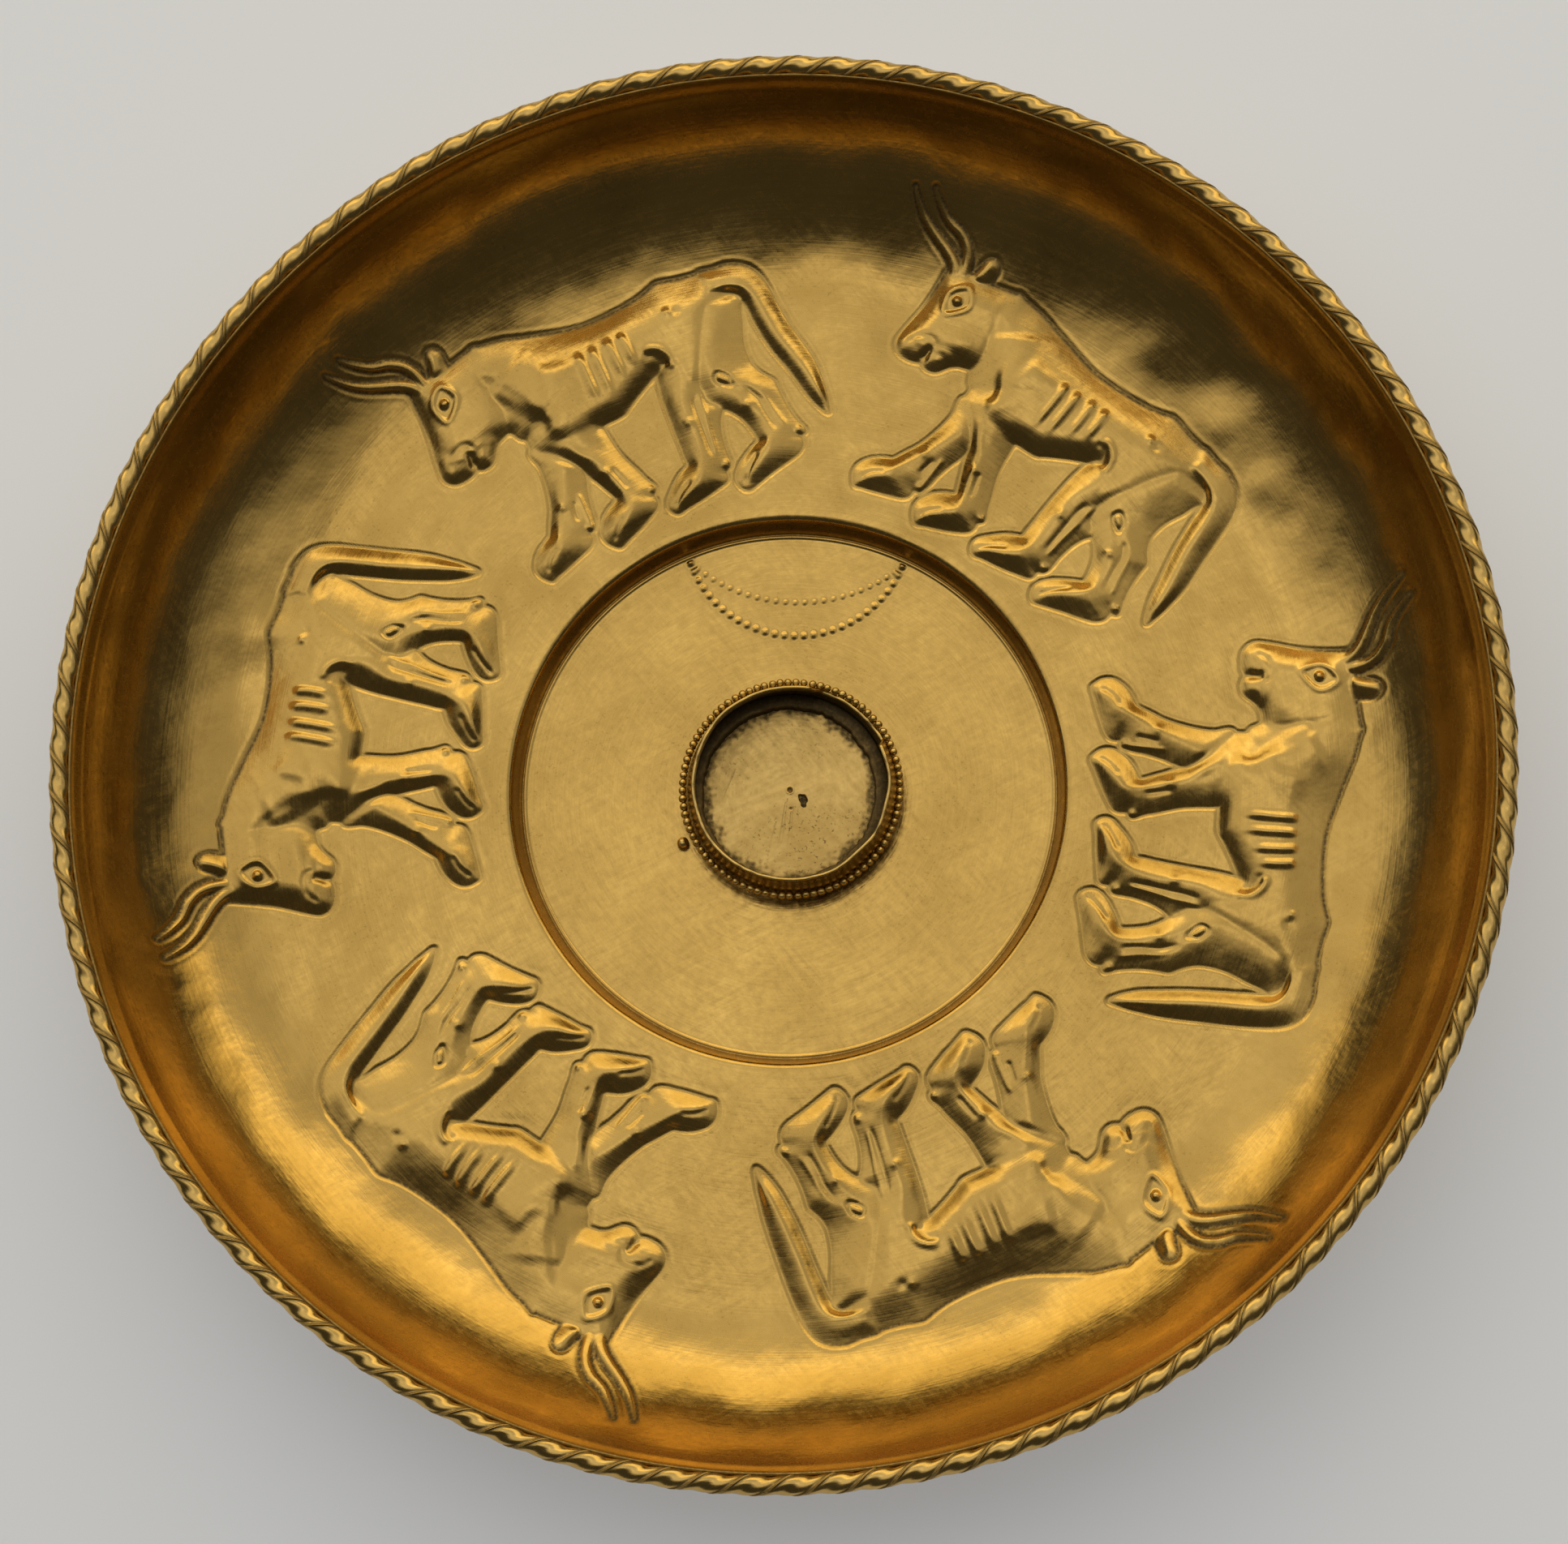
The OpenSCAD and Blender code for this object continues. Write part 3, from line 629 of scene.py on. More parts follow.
def to_drawn(x, y, angle):
    """Plan points as points of the drawn bull, for the bull that stands at the angle."""
    a = math.radians(angle)
    u, v = x * math.sin(a) - y * math.cos(a), x * math.cos(a) + y * math.sin(a)
    drawn = np.array(LANDMARKS[DRAWN_BULL])
    here = np.array(LANDMARKS[angle])
    c, m = drawn - drawn.mean(0), here - here.mean(0)
    cos_s, sin_s = (c * m).sum(), (c[:, 0] * m[:, 1] - c[:, 1] * m[:, 0]).sum()
    k = (m * m).sum()

    def back(px, py):
        px, py = px - here[:, 0].mean(), py - here[:, 1].mean()
        return (drawn[:, 0].mean() + (cos_s * px + sin_s * py) / k,
                drawn[:, 1].mean() + (cos_s * py - sin_s * px) / k)

    px, py = back(u, v)
    lx, ly = back(here[:, 0], here[:, 1])
    wx, wy, total = np.zeros(px.shape), np.zeros(px.shape), np.full(px.shape, 0.05)
    for i in range(len(drawn)):
        w = np.exp(-((px - lx[i]) ** 2 + (py - ly[i]) ** 2) / (2 * WARP_REACH ** 2))
        wx += w * (drawn[i, 0] - lx[i])
        wy += w * (drawn[i, 1] - ly[i])
        total += w
    return px + wx / total, py + wy / total


# Meshes

def mesh_from(name, verts, quads, tris, dirt_and_shade, wear_and_sheen):
    """Smooth-shaded object from arrays in millimetres."""
    me = bpy.data.meshes.new(name)
    quads = np.vstack(quads)
    tris = np.vstack(tris) if len(tris) else np.zeros((0, 3), int)
    me.vertices.add(len(verts))
    me.vertices.foreach_set("co", (verts * MM).astype(np.float32).ravel())
    corners = np.concatenate([quads.ravel(), tris.ravel()]).astype(np.int32)
    me.loops.add(len(corners))
    me.loops.foreach_set("vertex_index", corners)
    starts = np.concatenate([np.arange(len(quads)) * 4, 4 * len(quads) + np.arange(len(tris)) * 3])
    me.polygons.add(len(starts))
    me.polygons.foreach_set("loop_start", starts.astype(np.int32))
    me.polygons.foreach_set("use_smooth", np.ones(len(starts), bool))
    for key, values in (("dirt_and_shade", dirt_and_shade), ("wear_and_sheen", wear_and_sheen)):
        me.attributes.new(key, "FLOAT", "POINT").data.foreach_set("value", values.astype(np.float32))
    me.update(calc_edges=True)
    me.validate()
    obj = bpy.data.objects.new(name, me)
    bpy.context.scene.collection.objects.link(obj)
    return obj


def tube(rings_n, sides, closed=True):
    """Quads of a tube, which may close on itself."""
    i, j = np.meshgrid(np.arange(rings_n if closed else rings_n - 1), np.arange(sides), indexing="ij")
    a, b = i * sides, (i + 1) % rings_n * sides
    k = (j + 1) % sides
    return np.stack([a + j, b + j, b + k, a + k], -1).reshape(-1, 4)


def fan(start, n, tip):
    """Triangles from a ring of n points to a tip."""
    i = np.arange(n)
    return np.stack([start + i, start + (i + 1) % n, np.full(n, tip)], 1)


def swept_ring(name, turn, r, z, quads, dirt_and_shade, wear_and_sheen, shift=0):
    """Object from the sections at each turn, given by their radii and heights."""
    x, y = on_circle(r, turn[:, None])
    verts = np.stack([x + shift, y, z], -1).reshape(-1, 3)
    return mesh_from(name, verts, [quads], [], dirt_and_shade.ravel(), wear_and_sheen.ravel())


# Dish

def wall_arc(step, start_r, end_r, grow=0.0):
    """Profile points along the wall, from its radius start_r to end_r."""
    a0 = math.asin(max(0.0, (start_r - FRIEZE_R) / WALL_RADIUS))
    a1 = math.asin(min(1.0, (end_r - FRIEZE_R) / WALL_RADIUS))
    a = np.linspace(a0, a1, max(2, int((a1 - a0) * WALL_RADIUS / step)))
    radius = WALL_RADIUS + grow
    return np.stack([FRIEZE_R + radius * np.sin(a), FRIEZE_Z + WALL_RADIUS - radius * np.cos(a)], 1)


def flat_run(step, r0, r1, z):
    r = np.linspace(r0, r1, max(2, int(abs(r1 - r0) / step)))
    return np.stack([r, np.full(r.shape, z)], 1)


def with_normals(points):
    """Adds the upward normal of a profile that runs outward."""
    d = np.gradient(points, axis=0)
    d /= np.hypot(d[:, 0], d[:, 1])[:, None]
    return np.hstack([points, np.stack([-d[:, 1], d[:, 0]], 1)])


def dish_rings():
    """Rows of radius, height, normal, points in the ring and side: 1 above, 0 lip, -1 below."""
    full, half, quarter = RING_POINTS, RING_POINTS // 2, RING_POINTS // 8
    above = with_normals(np.vstack([
        flat_run(1.0, 1.0, CRESCENT_FROM - 0.5, SHEET_T),
        flat_run(FINE_STEP * 0.8, CRESCENT_FROM, 26.5, SHEET_T),
        smooth_line(STEP_ABOVE, False, 0.1),
        flat_run(FINE_STEP, STEP_ABOVE[-1][0] + FINE_STEP, FRIEZE_R - FINE_STEP, FRIEZE_Z),
        wall_arc(FINE_STEP, FRIEZE_R, FIGURES_TO),
        wall_arc(0.35, FIGURES_TO + 0.25, LIP_R)]))
    thinned = (SHEET_T - LIP_T) * ease((above[:, 1] - LIP_H + LIP_FROM) / LIP_FROM)
    above[:, :2] -= thinned[:, None] * above[:, 2:]
    r = above[:, 0]
    count = np.where(r < CRESCENT_FROM, quarter, np.where(r < FIGURES_FROM, half, full))
    count = np.where(r > FIGURES_TO + 0.1, half, count)
    rows = [np.column_stack([above, count, np.ones(len(r))])]
    a = np.linspace(0, math.pi, 9)[1:-1]
    n = np.array([-math.sin(WALL_BEND), math.cos(WALL_BEND)])
    t = np.array([math.cos(WALL_BEND), math.sin(WALL_BEND)])
    cap = (np.array([LIP_R, LIP_H]) - (SHEET_T - LIP_T / 2) * n + LIP_T / 2 * np.cos(a)[:, None] * n
           + LIP_T / 2 * np.sin(a)[:, None] * t)
    rows.append(np.column_stack([cap, np.tile(n, (len(a), 1)), np.full(len(a), half), np.zeros(len(a))]))
    below = with_normals(np.vstack([
        flat_run(1.5, 1.0, 27.0, 0.0),
        smooth_line(STEP_BELOW, False, 0.2),
        flat_run(0.3, 30.1, FRIEZE_R - 0.3, FRIEZE_Z - SHEET_T),
        wall_arc(0.3, FRIEZE_R, LIP_R, SHEET_T)]))[::-1]
    r = below[:, 0]
    rows.append(np.column_stack([below, np.where(r < 27.1, quarter, half), -np.ones(len(r))]))
    return np.vstack(rows)


def strip(a, na, b, nb):
    """Faces between rings that start at a and b; one may have a whole multiple of the other's points."""
    if na == nb:
        i = np.arange(na)
        j = (i + 1) % na
        return [np.stack([b + i, b + j, a + j, a + i], 1)], []
    flip = na > nb
    (few, n_few), (many, n_many) = ((b, nb), (a, na)) if flip else ((a, na), (b, nb))
    k = n_many // n_few
    i = np.arange(n_few)
    j = (i + 1) % n_few
    tris = []
    for m in range(k):
        foot = few + (i if m < k / 2 else j)
        tris.append(np.stack([foot, many + (i * k + m + 1) % n_many, many + i * k + m], 1))
    tris.append(np.stack([few + i, few + j, many + i * k + k // 2], 1))
    tris = np.vstack(tris)
    return [], [tris if flip else tris[:, ::-1]]


def crescent_height(x, y):
    h = np.zeros(x.shape)
    for dip, radius, top in CRESCENT_ROWS:
        arc_r = (CRESCENT_HALF ** 2 + dip ** 2) / (2 * dip)
        half = 2 * math.atan2(dip, CRESCENT_HALF)
        n = round(2 * arc_r * half / DOT_PITCH)
        for a in np.linspace(-half, half, n + 1):
            dx, dy = x - arc_r * math.sin(a), y - CRESCENT_TIP_Y + dip - arc_r * (1 - math.cos(a))
            d2 = dx ** 2 + dy ** 2
            h += top * np.exp(-d2 / (0.62 * radius) ** 2)
            h -= 0.15 * top * bell((np.sqrt(d2) - 1.15 * radius) / 0.15)
    return h


def dish_fields(x, y, maps):
    """Height, darkening and wear over the plan."""
    r = np.hypot(x, y)
    h, dirt_and_shade, wear_and_sheen = (np.zeros(r.shape) for _ in range(3))
    for amount, wave, seed, start, span in UNEVEN:
        h += amount * ripple(x, y, wave, seed) * ease((r - start) / span)
    for dx, dy, radius, amount in DENTS:
        h += amount * boss(x - dx, y - dy, radius)
    turn = np.degrees(np.arctan2(y, x))
    for angle in LANDMARKS:
        near = np.flatnonzero((np.abs((turn - angle + 180) % 360 - 180) < 45) & (r > FIGURES_FROM))
        px, py = to_drawn(x[near], y[near], angle)
        on = (px > MAP_X[0]) & (px < MAP_X[1]) & (py > MAP_Y[0]) & (py < MAP_Y[1])
        near, px, py = near[on], px[on], py[on]
        h[near] += sampled(maps[0], px, py)
        dirt_and_shade[near] = np.maximum(dirt_and_shade[near], sampled(maps[1], px, py))
        wear_and_sheen[near] = np.maximum(wear_and_sheen[near], sampled(maps[2], px, py))
    field = np.flatnonzero((r < FIELD_R - 0.5) & (y > CRESCENT_FROM))
    dots = crescent_height(x[field], y[field])
    h[field] += dots
    wear_and_sheen[field] = np.clip(dots * 4, 0, 1)
    # Darker in the groove at the step's foot and on the step's wall
    step_dark = 0.5 * bell((r - 27.28) / 0.12) + 0.3 * np.exp(-((r - 27.8) / 0.4) ** 4)
    return h, np.maximum(dirt_and_shade, step_dark), wear_and_sheen


def stored(items, key, kind, width=1):
    """Values of a mesh as an array."""
    values = np.zeros(len(items) * width, kind)
    items.foreach_get(key, values)
    return values


def bake_layout(me, rings, starts):
    """Layout of the dish for baking: the upper side in one half, the underside in the other."""
    first_below = int(starts[np.argmax(rings[:, 5] < 1)])
    corners = stored(me.loops, "vertex_index", np.int32)
    x, y, z = (stored(me.vertices, "co", np.float32, 3).reshape(-1, 3) / MM).T
    r = np.hypot(x, y) + 1e-9
    reach = (r + 0.6 * np.maximum(z - FRIEZE_Z, 0)) / (LIP_R + 12)
    u, v = reach * x / r, reach * y / r
    begin, totals = (stored(me.polygons, key, np.int32) for key in ("loop_start", "loop_total"))
    below = np.repeat(np.maximum.reduceat((corners >= first_below).astype(int), begin), totals)
    uv = np.stack([0.25 + 0.5 * below + 0.245 * u[corners], 0.5 + 0.49 * v[corners]], 1)
    me.uv_layers.new(name="OFBake").data.foreach_set("uv", uv.astype(np.float32).ravel())


def make_dish():
    rings = dish_rings()
    counts = rings[:, 4].astype(int)
    starts = np.concatenate([[0], np.cumsum(counts)])
    turn = np.concatenate([turns(n) for n in counts])
    r, z, nr, nz, _, side = (np.repeat(rings[:, k], counts) for k in range(6))
    up, low = side > 0, side < 0
    base_r = np.where(low, r + SHEET_T * nr, r)
    x, y = on_circle(base_r, turn)
    height, darkened, worn = bull_map()
    h, dirt_and_shade, wear_and_sheen = (np.zeros(len(r)) for _ in range(3))
    h[up], dirt_and_shade[up], wear_and_sheen[up] = dish_fields(x[up], y[up], (height, darkened, worn))
    h[low], dirt_and_shade[low], _ = dish_fields(x[low], y[low], (blurred(height, 0.3), 0.5 * darkened, 0 * worn))
    h *= ease((LIP_R - base_r) / 3)
    h[low] *= ease((base_r[low] - 27.5) / 3)
    solder_and_shade = np.where(low, bell((z - SOLDER_Z) / SOLDER_W), 0)
    h -= SOLDER_OUT * solder_and_shade
    # Painted shade on the lip's edge under the border and in the pocket at the solder
    dirt_and_shade = np.maximum(dirt_and_shade, np.where(side == 0, LIP_SHADE, solder_and_shade))
    verts = np.column_stack([*on_circle(r + nr * h, turn), z + nz * h])
    quads, tris = [], []
    for k in range(len(counts) - 1):
        q, t = strip(starts[k], counts[k], starts[k + 1], counts[k + 1])
        quads += q
        tris += t
    n = len(verts)
    verts = np.vstack([verts, [[0, 0, SHEET_T], [0, 0, 0]]])
    tris += [fan(0, counts[0], n), fan(starts[-2], counts[-1], n + 1)[:, ::-1]]
    obj = mesh_from("dish_sheet", verts, quads, tris, np.append(dirt_and_shade, [0, 0]), np.append(wear_and_sheen, [0, 0]))
    bake_layout(obj.data, rings, starts)
    return obj


# Border and setting

def strip_section(near):
    """Outline of a strip's section, from the height near up: flange, crease, domed back, flange."""
    edge, foot = STRIP_W / 2, STRIP_W / 2 - FLANGE_W
    half = [(edge - 0.03, near), (edge, near + 0.4 * FLANGE_T), (edge - 0.02, near + 0.8 * FLANGE_T),
            (edge - 0.06, near + FLANGE_T), (foot, near + 0.75 * FLANGE_T)]
    rise = STRIP_T - FLANGE_T
    for a in np.radians([12, 26, 40, 54, 67, 79]):
        half.append((foot * math.cos(a) ** 0.85, near + FLANGE_T + rise * math.sin(a) ** 0.9))
    back = [(-x, y) for x, y in half[::-1]]
    return np.array(half + [(0, near + STRIP_T)] + back + [(-0.4, near), (0.4, near)])


def make_strand(name, side):
    section = strip_section(FILM / 2)
    if side < 0:
        section = -section
    n = TWIST_TURNS * TWIST_STEPS
    turn = turns(n)
    roll = turn * TWIST_TURNS + 0.1 * ripple(*on_circle(70, turn), 25, 21)
    c, s = np.cos(roll)[:, None], np.sin(roll)[:, None]
    out = section[:, 0] * c - section[:, 1] * s
    up = section[:, 0] * s + section[:, 1] * c
    foot = STRIP_W / 2 - FLANGE_W
    across = np.abs(section[:, 0])
    # Darker along the crease at each flange's foot; the flange edges are lightened as wear and painted
    # highlight
    flange_crease = np.tile(0.7 * bell((across - foot) / 0.07), n)
    wear_and_sheen = np.tile(ease((across - foot - 0.05) / 0.08), n)
    return swept_ring(name, turn, BORDER_R + out, BORDER_Z + up, tube(n, len(section))[:, ::-1], flange_crease, wear_and_sheen)


def lean(height):
    """Sideways shift of the collar at a height above the field."""
    return COLLAR_LEAN * ease(height / 3.5)


def collar_top(turn):
    """Height of the collar's worn edge."""
    deg = np.degrees(turn) % 360
    x, y = on_circle(10, turn)
    top = COLLAR_H - 0.12 + 0.1 * ripple(x, y, 6, 31) + 0.05 * ripple(x, y, 1.8, 32)
    into = ease((deg - TEAR_FROM + 4) / 7) * ease((TEAR_FROM + TEAR_SPAN + 3 - deg) / 7)
    return np.clip(top - into * (TEAR_H + 0.12 * ripple(x, y, 2.2, 33)), 0, COLLAR_H)


def make_collar():
    n = COLLAR_POINTS
    turn = turns(n)
    top = collar_top(turn)
    waver = 0.08 * ripple(*on_circle(10, turn), 7, 34)

    def radius(zc):
        inward = (COLLAR_R - COLLAR_TOP_R) * ease((zc - COLLAR_FOOT_H + 0.8) / (COLLAR_H - COLLAR_FOOT_H))
        return COLLAR_R - inward + waver * ease(zc / COLLAR_H)

    heights = [top * (k / (COLLAR_LEVELS - 1)) for k in range(COLLAR_LEVELS)]
    rows = [(radius(zc), zc) for zc in heights]
    for a in np.radians([45, 90, 135]):
        rows.append((radius(top) - COLLAR_T / 2 * (1 - math.cos(a)), top + 0.3 * COLLAR_T * math.sin(a)))
    rows += [(radius(zc) - COLLAR_T, zc) for zc in heights[::-1]]
    r, zc = (np.array(values).T for values in zip(*rows))
    # Painted shade on the collar's inner wall, lighter near its top, and painted shadow on the outer wall
    # below the granules; the top edge is lightened as painted highlight
    lit_near_top = ease((zc - top[:, None] + 0.35) / 0.3)
    inner = np.tile(np.arange(len(rows)) > COLLAR_LEVELS + 2, (n, 1))
    dirt_and_shade = np.where(inner, 0.85 * (1 - 0.8 * lit_near_top), 0.6 * ease((3.2 - zc) / 0.6))
    return swept_ring("collar_worn", turn, r, COLLAR_Z + zc, tube(n, len(rows)), dirt_and_shade, lit_near_top, lean(zc))


def plate_height(x, y):
    """Punch mark, pit and scratches of the plate, above its level face."""
    h = 0.012 * ripple(x, y, 4, 41)
    d = np.hypot(x - PUNCH_AT[0], y - PUNCH_AT[1])
    h += 0.06 * bell((d - 0.34) / 0.12) - 0.18 * bell(d / 0.24)
    dx, dy = x - PIT_AT[0], y - PIT_AT[1]
    pit = np.hypot(dx / PIT_HALF[0], (dy + 0.25 * dx) / PIT_HALF[1])
    h -= 0.26 * ease((1.15 - pit + 0.2 * ripple(x, y, 0.9, 45)) / 0.3)
    h -= 0.1 * np.exp(-(((x - 0.25) / 0.16) ** 2 + ((y + 1.55) / 0.12) ** 2))
    for x0, y0, x1, y1 in SCRATCHES:
        length = math.hypot(x1 - x0, y1 - y0)
        u = np.clip(((x - x0) * (x1 - x0) + (y - y0) * (y1 - y0)) / length ** 2, 0, 1)
        d = np.hypot(x - x0 - u * (x1 - x0), y - y0 - u * (y1 - y0))
        h -= 0.03 * bell(d / 0.07)
    return h


def make_plate():
    n = PLATE_POINTS
    radii = np.concatenate([np.linspace(0.06, 6.5, 108), np.linspace(6.6, PLATE_R, 30)])
    x, y = on_circle(radii[:, None], turns(n))
    h = plate_height(x, y) * ease((9.2 - np.hypot(x, y)) / 0.5)
    top = np.stack([x, y, PLATE_Z + PLATE_T + h], -1).reshape(-1, 3)
    rim = np.stack([x[-1], y[-1], np.full(n, PLATE_Z)], -1)
    verts = np.vstack([top, rim, [[0, 0, PLATE_Z + PLATE_T], [0, 0, PLATE_Z]]])
    tris = np.vstack([fan(0, n, len(verts) - 2), fan(len(top), n, len(verts) - 1)[:, [1, 0, 2]]])
    # Darker in the pit and towards the plate's edge, by the ledge
    pit = np.clip(-h.ravel() * 6 - 0.15, 0, 1)
    wobble = 0.35 * ripple(x, y, 3, 43) + 0.25 * ripple(x, y, 0.9, 44)
    edge = ease((np.hypot(x, y) - 7.7 + wobble) / 1.2).ravel()
    dirt_and_shade = np.concatenate([np.maximum(pit, 0.85 * edge), np.ones(n), [0, 0]])
    return mesh_from("plate_scratched", verts, [tube(len(radii) + 1, n, False)], [tris], dirt_and_shade, 0 * dirt_and_shade)


def make_ledge():
    n = LEDGE_POINTS
    turn = turns(n)
    x, y = on_circle(10, turn)
    inner = PLATE_R - LEDGE_W + 0.06 * ripple(x, y, 3, 51) + 0.05 * ripple(x, y, 1, 52)
    top = LEDGE_H + 0.05 * ripple(x, y, 2.5, 53)
    outer = np.full(n, PLATE_R)
    zero = np.zeros(n)
    prof = [(outer, zero), (outer, top * 0.9), (outer - 0.12, top), ((outer + inner) / 2, top - 0.06),
            (inner + 0.25, top - 0.02), (inner + 0.08, top - 0.1), (inner, top - 0.3), (inner - 0.05, zero)]
    r, z = (np.array(values).T for values in zip(*prof))
    # Painted shade across the ledge, lightest on its top
    dirt_and_shade = np.tile(np.array([1, 1, 0.9, 0.7, 0.5, 0.5, 0.7, 1.0]), n)
    return swept_ring("ledge_ring", turn, r, LEDGE_Z + z, tube(n, len(prof)), dirt_and_shade, 0 * dirt_and_shade)


def ball(rings_n, sides):
    """Points and faces of a unit ball."""
    lat = np.radians(np.linspace(-90, 90, rings_n + 2)[1:-1])
    pts = [(math.cos(a) * math.cos(b), math.cos(a) * math.sin(b), math.sin(a))
           for a in lat for b in turns(sides)]
    n = len(pts)
    quads = tube(rings_n, sides, False)[:, [0, 3, 2, 1]]
    tris = np.vstack([fan(0, sides, n)[:, [1, 0, 2]], fan(n - sides, sides, n + 1)])
    return np.array(pts + [(0, 0, -1), (0, 0, 1)]), quads, tris


def make_granules(name, centres, diameters, seed):
    """Grains that are a little uneven, with painted shade on the lower half and a painted highlight on top.
    """
    pts, quads, tris = ball(*GRAIN_MESH)
    rng = np.random.default_rng(seed)
    verts = []
    for c, d in zip(centres, diameters):
        squash = 1 + rng.uniform(-0.05, 0.05, 3)
        lumps = 1 + 0.03 * np.sin(3 * pts @ rng.normal(0, 1, 3) + rng.uniform(0, 6))
        verts.append(c + d / 2 * pts * squash * lumps[:, None])
    n = len(verts)
    quads, tris = ([faces + k * len(pts) for k in range(n)] for faces in (quads, tris))
    # Painted shade on each grain's lower half and a painted highlight on its top
    dirt_and_shade = np.tile(0.7 * ease((-0.05 - pts[:, 2]) / 0.9), n)
    wear_and_sheen = np.tile(ease((pts[:, 2] - 0.3) / 0.6), n)
    return mesh_from(name, np.vstack(verts), quads, tris, dirt_and_shade, wear_and_sheen)


def granule_ring(radius, d, height, seed):
    n = round(math.pi / math.asin(GRANULE_PACK * d / 2 / radius))
    rng = np.random.default_rng(seed)
    turn = (np.arange(n) + rng.uniform(-0.06, 0.06, n)) * 2 * math.pi / n
    x, y = on_circle(radius, turn)
    z = COLLAR_Z + height + rng.uniform(-0.04, 0.04, n)
    return np.stack([x + 0.8 * lean(height), y, z], 1), d * rng.uniform(0.9, 1.0, n)


# Materials

def add_node(tree, kind, inputs=None, **settings):
    node = tree.nodes.new(kind)
    for key, value in settings.items():
        setattr(node, key, value)
    for key, value in (inputs or {}).items():
        socket = node.inputs[key]
        if isinstance(value, bpy.types.NodeSocket):
            tree.links.new(value, socket)
        else:
            socket.default_value = value
    return node


def math_node(tree, operation, a, b=0.0, clamp=False):
    return add_node(tree, "ShaderNodeMath", {0: a, 1: b}, operation=operation, use_clamp=clamp).outputs[0]


def mix_color(tree, share, a, b):
    return add_node(tree, "ShaderNodeMix", {0: share, 6: a, 7: b}, data_type="RGBA").outputs[2]


def noise(tree, vector, scale, detail=3.0, rough=0.55):
    return add_node(tree, "ShaderNodeTexNoise", {"Vector": vector, "Scale": scale, "Detail": detail,
                                                "Roughness": rough}).outputs["Fac"]


def remap(tree, value, lo, hi, out_lo=0.0, out_hi=1.0):
    return add_node(tree, "ShaderNodeMapRange", {"Value": value, "From Min": lo, "From Max": hi,
                                                "To Min": out_lo, "To Max": out_hi}).outputs["Result"]


def brushed_vector(tree, place, along, across):
    """Coordinates that are long round the bowl and short across it."""
    parts = add_node(tree, "ShaderNodeSeparateXYZ", {0: place})
    flat = add_node(tree, "ShaderNodeCombineXYZ", {0: parts.outputs[0], 1: parts.outputs[1]}).outputs[0]
    radius = add_node(tree, "ShaderNodeVectorMath", {0: flat}, operation="LENGTH").outputs["Value"]
    unit = add_node(tree, "ShaderNodeVectorMath", {0: flat}, operation="NORMALIZE").outputs[0]
    unit = add_node(tree, "ShaderNodeVectorMath", {0: unit, "Scale": along}, operation="SCALE").outputs[0]
    up = add_node(tree, "ShaderNodeCombineXYZ", {2: math_node(tree, "MULTIPLY", radius, across)}).outputs[0]
    return add_node(tree, "ShaderNodeVectorMath", {0: unit, 1: up}, operation="ADD").outputs[0]


def hatching(tree, place, angle):
    """Short polishing strokes that run at an angle."""
    inputs = {"Vector": place, "Rotation": (0, 0, angle), "Scale": (5, 0.4, 1.5)}
    turned = add_node(tree, "ShaderNodeMapping", inputs, vector_type="TEXTURE")
    return noise(tree, turned.outputs[0], 1.0, 3, 0.6)


def color(r, g, b):
    return (r, g, b, 1.0)


def attribute(tree, key):
    return add_node(tree, "ShaderNodeAttribute", attribute_name=key).outputs["Fac"]


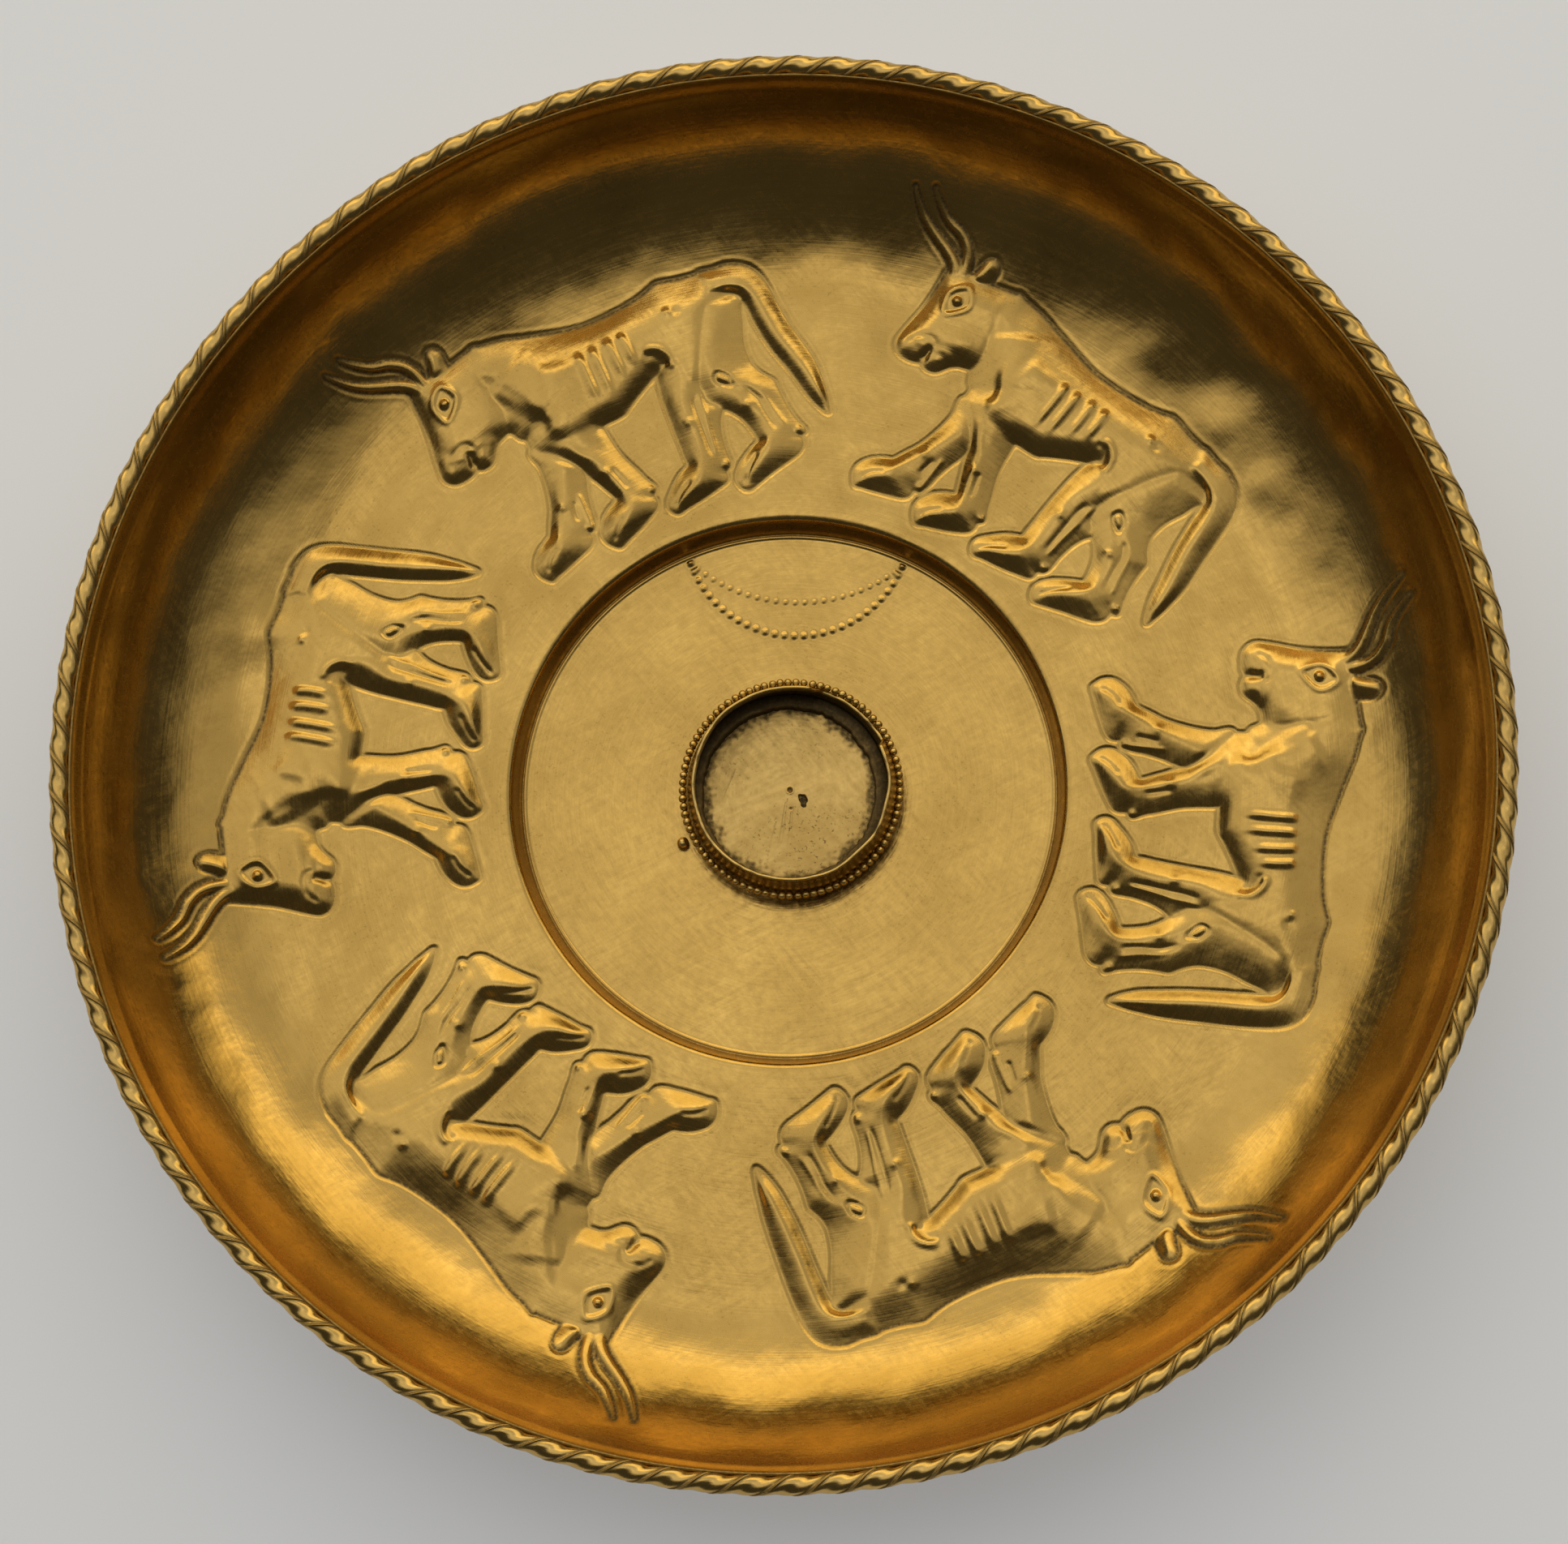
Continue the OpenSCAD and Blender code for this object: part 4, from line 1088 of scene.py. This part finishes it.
def gold(name, bright, deep, rough, specks):
    """Worn gold: patches, specks, brush marks round the bowl, darkening from the mesh's dirt and painted
    shade, lighter where worn and on painted highlights.
    """
    mat = bpy.data.materials.new(name)
    mat.use_nodes = True
    tree = mat.node_tree
    shader = tree.nodes["Principled BSDF"]
    metres = add_node(tree, "ShaderNodeTexCoord").outputs["Object"]
    scaled = {0: metres, "Scale": 1 / MM}
    place = add_node(tree, "ShaderNodeVectorMath", scaled, operation="SCALE").outputs[0]
    patches = noise(tree, place, 0.09, 4)
    mottle = noise(tree, place, 1.1, 4, 0.65)
    speck = remap(tree, noise(tree, place, 3.2, 2, 0.6), 0.6, 0.72)
    speck = math_node(tree, "MULTIPLY", speck, remap(tree, patches, 0.42, 0.62))
    lines = noise(tree, brushed_vector(tree, place, 5.0, 5.0), 1.0, 2, 0.5)
    where = remap(tree, noise(tree, place, 0.2, 1), 0.38, 0.62)
    hatch = mix_color(tree, where, hatching(tree, place, 0.5), hatching(tree, place, 2.3))
    blotches = remap(tree, noise(tree, place, 2.6, 3, 0.7), 0.25, 0.55, 0.35, 1.0)
    grime_and_shade = math_node(tree, "MULTIPLY", attribute(tree, "dirt_and_shade"), blotches, True)
    tone = color(*bright)
    for share, over in (
            (remap(tree, patches, 0.35, 0.65), deep),
            (remap(tree, mottle, 0.35, 0.75, 0, 0.5), deep),
            (remap(tree, hatch, 0.45, 0.7, 0, 0.3), deep),
            (math_node(tree, "MULTIPLY", speck, specks), DIRT_AND_SHADE_COLOR),
            # Lighter where the mesh gives wear and painted highlight
            (math_node(tree, "MULTIPLY", attribute(tree, "wear_and_sheen"), 0.5), bright),
            (grime_and_shade, DIRT_AND_SHADE_COLOR)):
        tone = mix_color(tree, share, tone, color(*over))
    rough_all = remap(tree, mottle, 0.3, 0.7, rough - 0.04, rough + 0.06)
    for more in (
            remap(tree, lines, 0.3, 0.7, -BRUSH / 2, BRUSH / 2),
            remap(tree, hatch, 0.35, 0.65, -BRUSH / 2, BRUSH / 2),
            math_node(tree, "MULTIPLY", grime_and_shade, 0.3)):
        rough_all = math_node(tree, "ADD", rough_all, more)
    relief = math_node(tree, "ADD", math_node(tree, "MULTIPLY", lines, 0.5), noise(tree, place, 1.1, 1))
    bump = add_node(tree, "ShaderNodeBump", {"Height": relief, "Strength": 0.4, "Distance": 0.05 * MM})
    for key, value in (
            ("Base Color", tone), ("Metallic", remap(tree, grime_and_shade, 0.2, 1, 1, 0.6)),
            ("Roughness", rough_all), ("Normal", bump.outputs["Normal"])):
        tree.links.new(value, shader.inputs[key])
    return mat


# Stage

def camera_axes():
    a, e, r = (math.radians(v) for v in (VIEW_AZIMUTH, VIEW_ELEVATION, VIEW_ROLL))
    back = Vector((math.sin(a) * math.cos(e), -math.cos(a) * math.cos(e), math.sin(e)))
    right = Vector((math.cos(a), math.sin(a), 0))
    up = back.cross(right)
    return math.cos(r) * right + math.sin(r) * up, -math.sin(r) * right + math.cos(r) * up, back


def make_camera():
    right, up, back = camera_axes()
    data = bpy.data.cameras.new("camera")
    data.sensor_width = SENSOR
    data.lens = FOCAL_PIXELS / PHOTO_WIDTH * SENSOR
    data.clip_start, data.clip_end = 0.05, 20
    cam = bpy.data.objects.new("camera", data)
    aim = Vector((0, 0, FRIEZE_Z)) + VIEW_AIM[0] * right + VIEW_AIM[1] * up
    place = Matrix((right, up, back)).transposed().to_4x4()
    place.translation = (aim + VIEW_DISTANCE * back) * MM
    cam.matrix_world = place
    bpy.context.scene.collection.objects.link(cam)
    bpy.context.scene.camera = cam


def soft_panel(name, location, facing, size, power, tint=(1, 1, 1)):
    """Lamps that look back along the facing direction, each smaller and a little in front of the last."""
    for k, (share, brightness) in enumerate(PANEL_STEPS):
        data = bpy.data.lights.new(f"{name}_{k}", "AREA")
        data.shape = "RECTANGLE"
        data.size, data.size_y = share * size[0], share * size[1]
        data.energy, data.color = brightness * share ** 2 * power, tint
        lamp = bpy.data.objects.new(f"{name}_{k}", data)
        lamp.location = Vector(location) - PANEL_GAP * k * facing
        lamp.rotation_euler = facing.to_track_quat("Z", "Y").to_euler()
        bpy.context.scene.collection.objects.link(lamp)


def from_bowl(azimuth, elevation, distance):
    """Place seen from the bowl; azimuth 0 is over the crescent."""
    a, e = math.radians(azimuth), math.radians(elevation)
    return distance * Vector((math.sin(a) * math.cos(e), math.cos(a) * math.cos(e), math.sin(e)))


def make_floor():
    bpy.ops.mesh.primitive_plane_add(size=FLOOR_SIZE)
    floor = bpy.context.object
    floor.name = "floor"
    mat = bpy.data.materials.new("floor")
    mat.use_nodes = True
    tree = mat.node_tree
    shader = tree.nodes["Principled BSDF"]
    shader.inputs["Base Color"].default_value = color(*FLOOR_COLOR)
    shader.inputs["Roughness"].default_value = 0.7
    shader.inputs["Emission Color"].default_value = color(1, 1, 1)
    path = add_node(tree, "ShaderNodeLightPath").outputs
    seen = math_node(tree, "MAXIMUM", path["Is Camera Ray"], path["Is Glossy Ray"])
    seen = math_node(tree, "MAXIMUM", seen, path["Is Transmission Ray"])
    tree.links.new(math_node(tree, "MULTIPLY", seen, FLOOR_GLOW), shader.inputs["Emission Strength"])
    floor.data.materials.append(mat)


def make_lights():
    world = bpy.data.worlds.new("world")
    world.use_nodes = True
    world.node_tree.nodes["Background"].inputs[0].default_value = color(1, 1, 1)
    world.node_tree.nodes["Background"].inputs[1].default_value = WORLD_LIGHT
    bpy.context.scene.world = world
    for name, (location, size, power) in LEVEL_PANELS.items():
        soft_panel(name, location, Vector((0, 0, 1)), size, power)
    key = from_bowl(*KEY_FROM)
    soft_panel("key", key, key.normalized(), KEY_SIZE, KEY_POWER, KEY_TINT)
    bpy.context.scene.view_settings.view_transform = "Standard"


# Pieces

def make_grains():
    """The two rows round the collar and the lone grain beside it, each with its node."""
    small_h = GRANULE_H - (GRANULE_D + SMALL_D) / 2
    upper = granule_ring(COLLAR_R + GRANULE_D / 2 + FILM, GRANULE_D, GRANULE_H, 61)
    lower = granule_ring(COLLAR_R + SMALL_D / 2 + FILM, SMALL_D, small_h, 62)
    lone = np.array([*on_circle(LONE_R, math.radians(LONE_TURN)), SHEET_T + LONE_D * 0.46])
    return [
        (make_granules("grains_upper", *upper, 63), "granule_row_upper", "granule_gold"),
        (make_granules("grains_lower", *lower, 64), "granule_row_lower", "granule_gold"),
        (make_granules("grain_lone", [lone], [LONE_D], 65), "lone_granule", "granule_gold")]


def make_pieces():
    mats = {slot: gold(slot, *values) for slot, values in GOLDS.items()}
    pieces = [
        (make_dish(), "dish", "dish_gold"),
        (make_strand("strand_a", 1), "rim_strand_a", "border_gold"),
        (make_strand("strand_b", -1), "rim_strand_b", "border_gold"),
        (make_collar(), "bezel_collar", "setting_gold"),
        (make_ledge(), "bearing_ring", "ledge_gold"),
        (make_plate(), "setting_floor", "plate_gold")]
    for obj, node, slot in pieces + make_grains():
        obj.data.materials.append(mats[slot])
        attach(obj, "root")
        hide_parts(node)


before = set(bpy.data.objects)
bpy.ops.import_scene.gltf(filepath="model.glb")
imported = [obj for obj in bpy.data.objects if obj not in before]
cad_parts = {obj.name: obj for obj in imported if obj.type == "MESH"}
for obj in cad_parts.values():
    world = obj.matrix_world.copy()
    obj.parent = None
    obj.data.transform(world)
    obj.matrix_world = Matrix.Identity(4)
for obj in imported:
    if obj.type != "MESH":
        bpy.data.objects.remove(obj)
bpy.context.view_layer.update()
make_camera()
make_floor()
make_lights()
make_pieces()
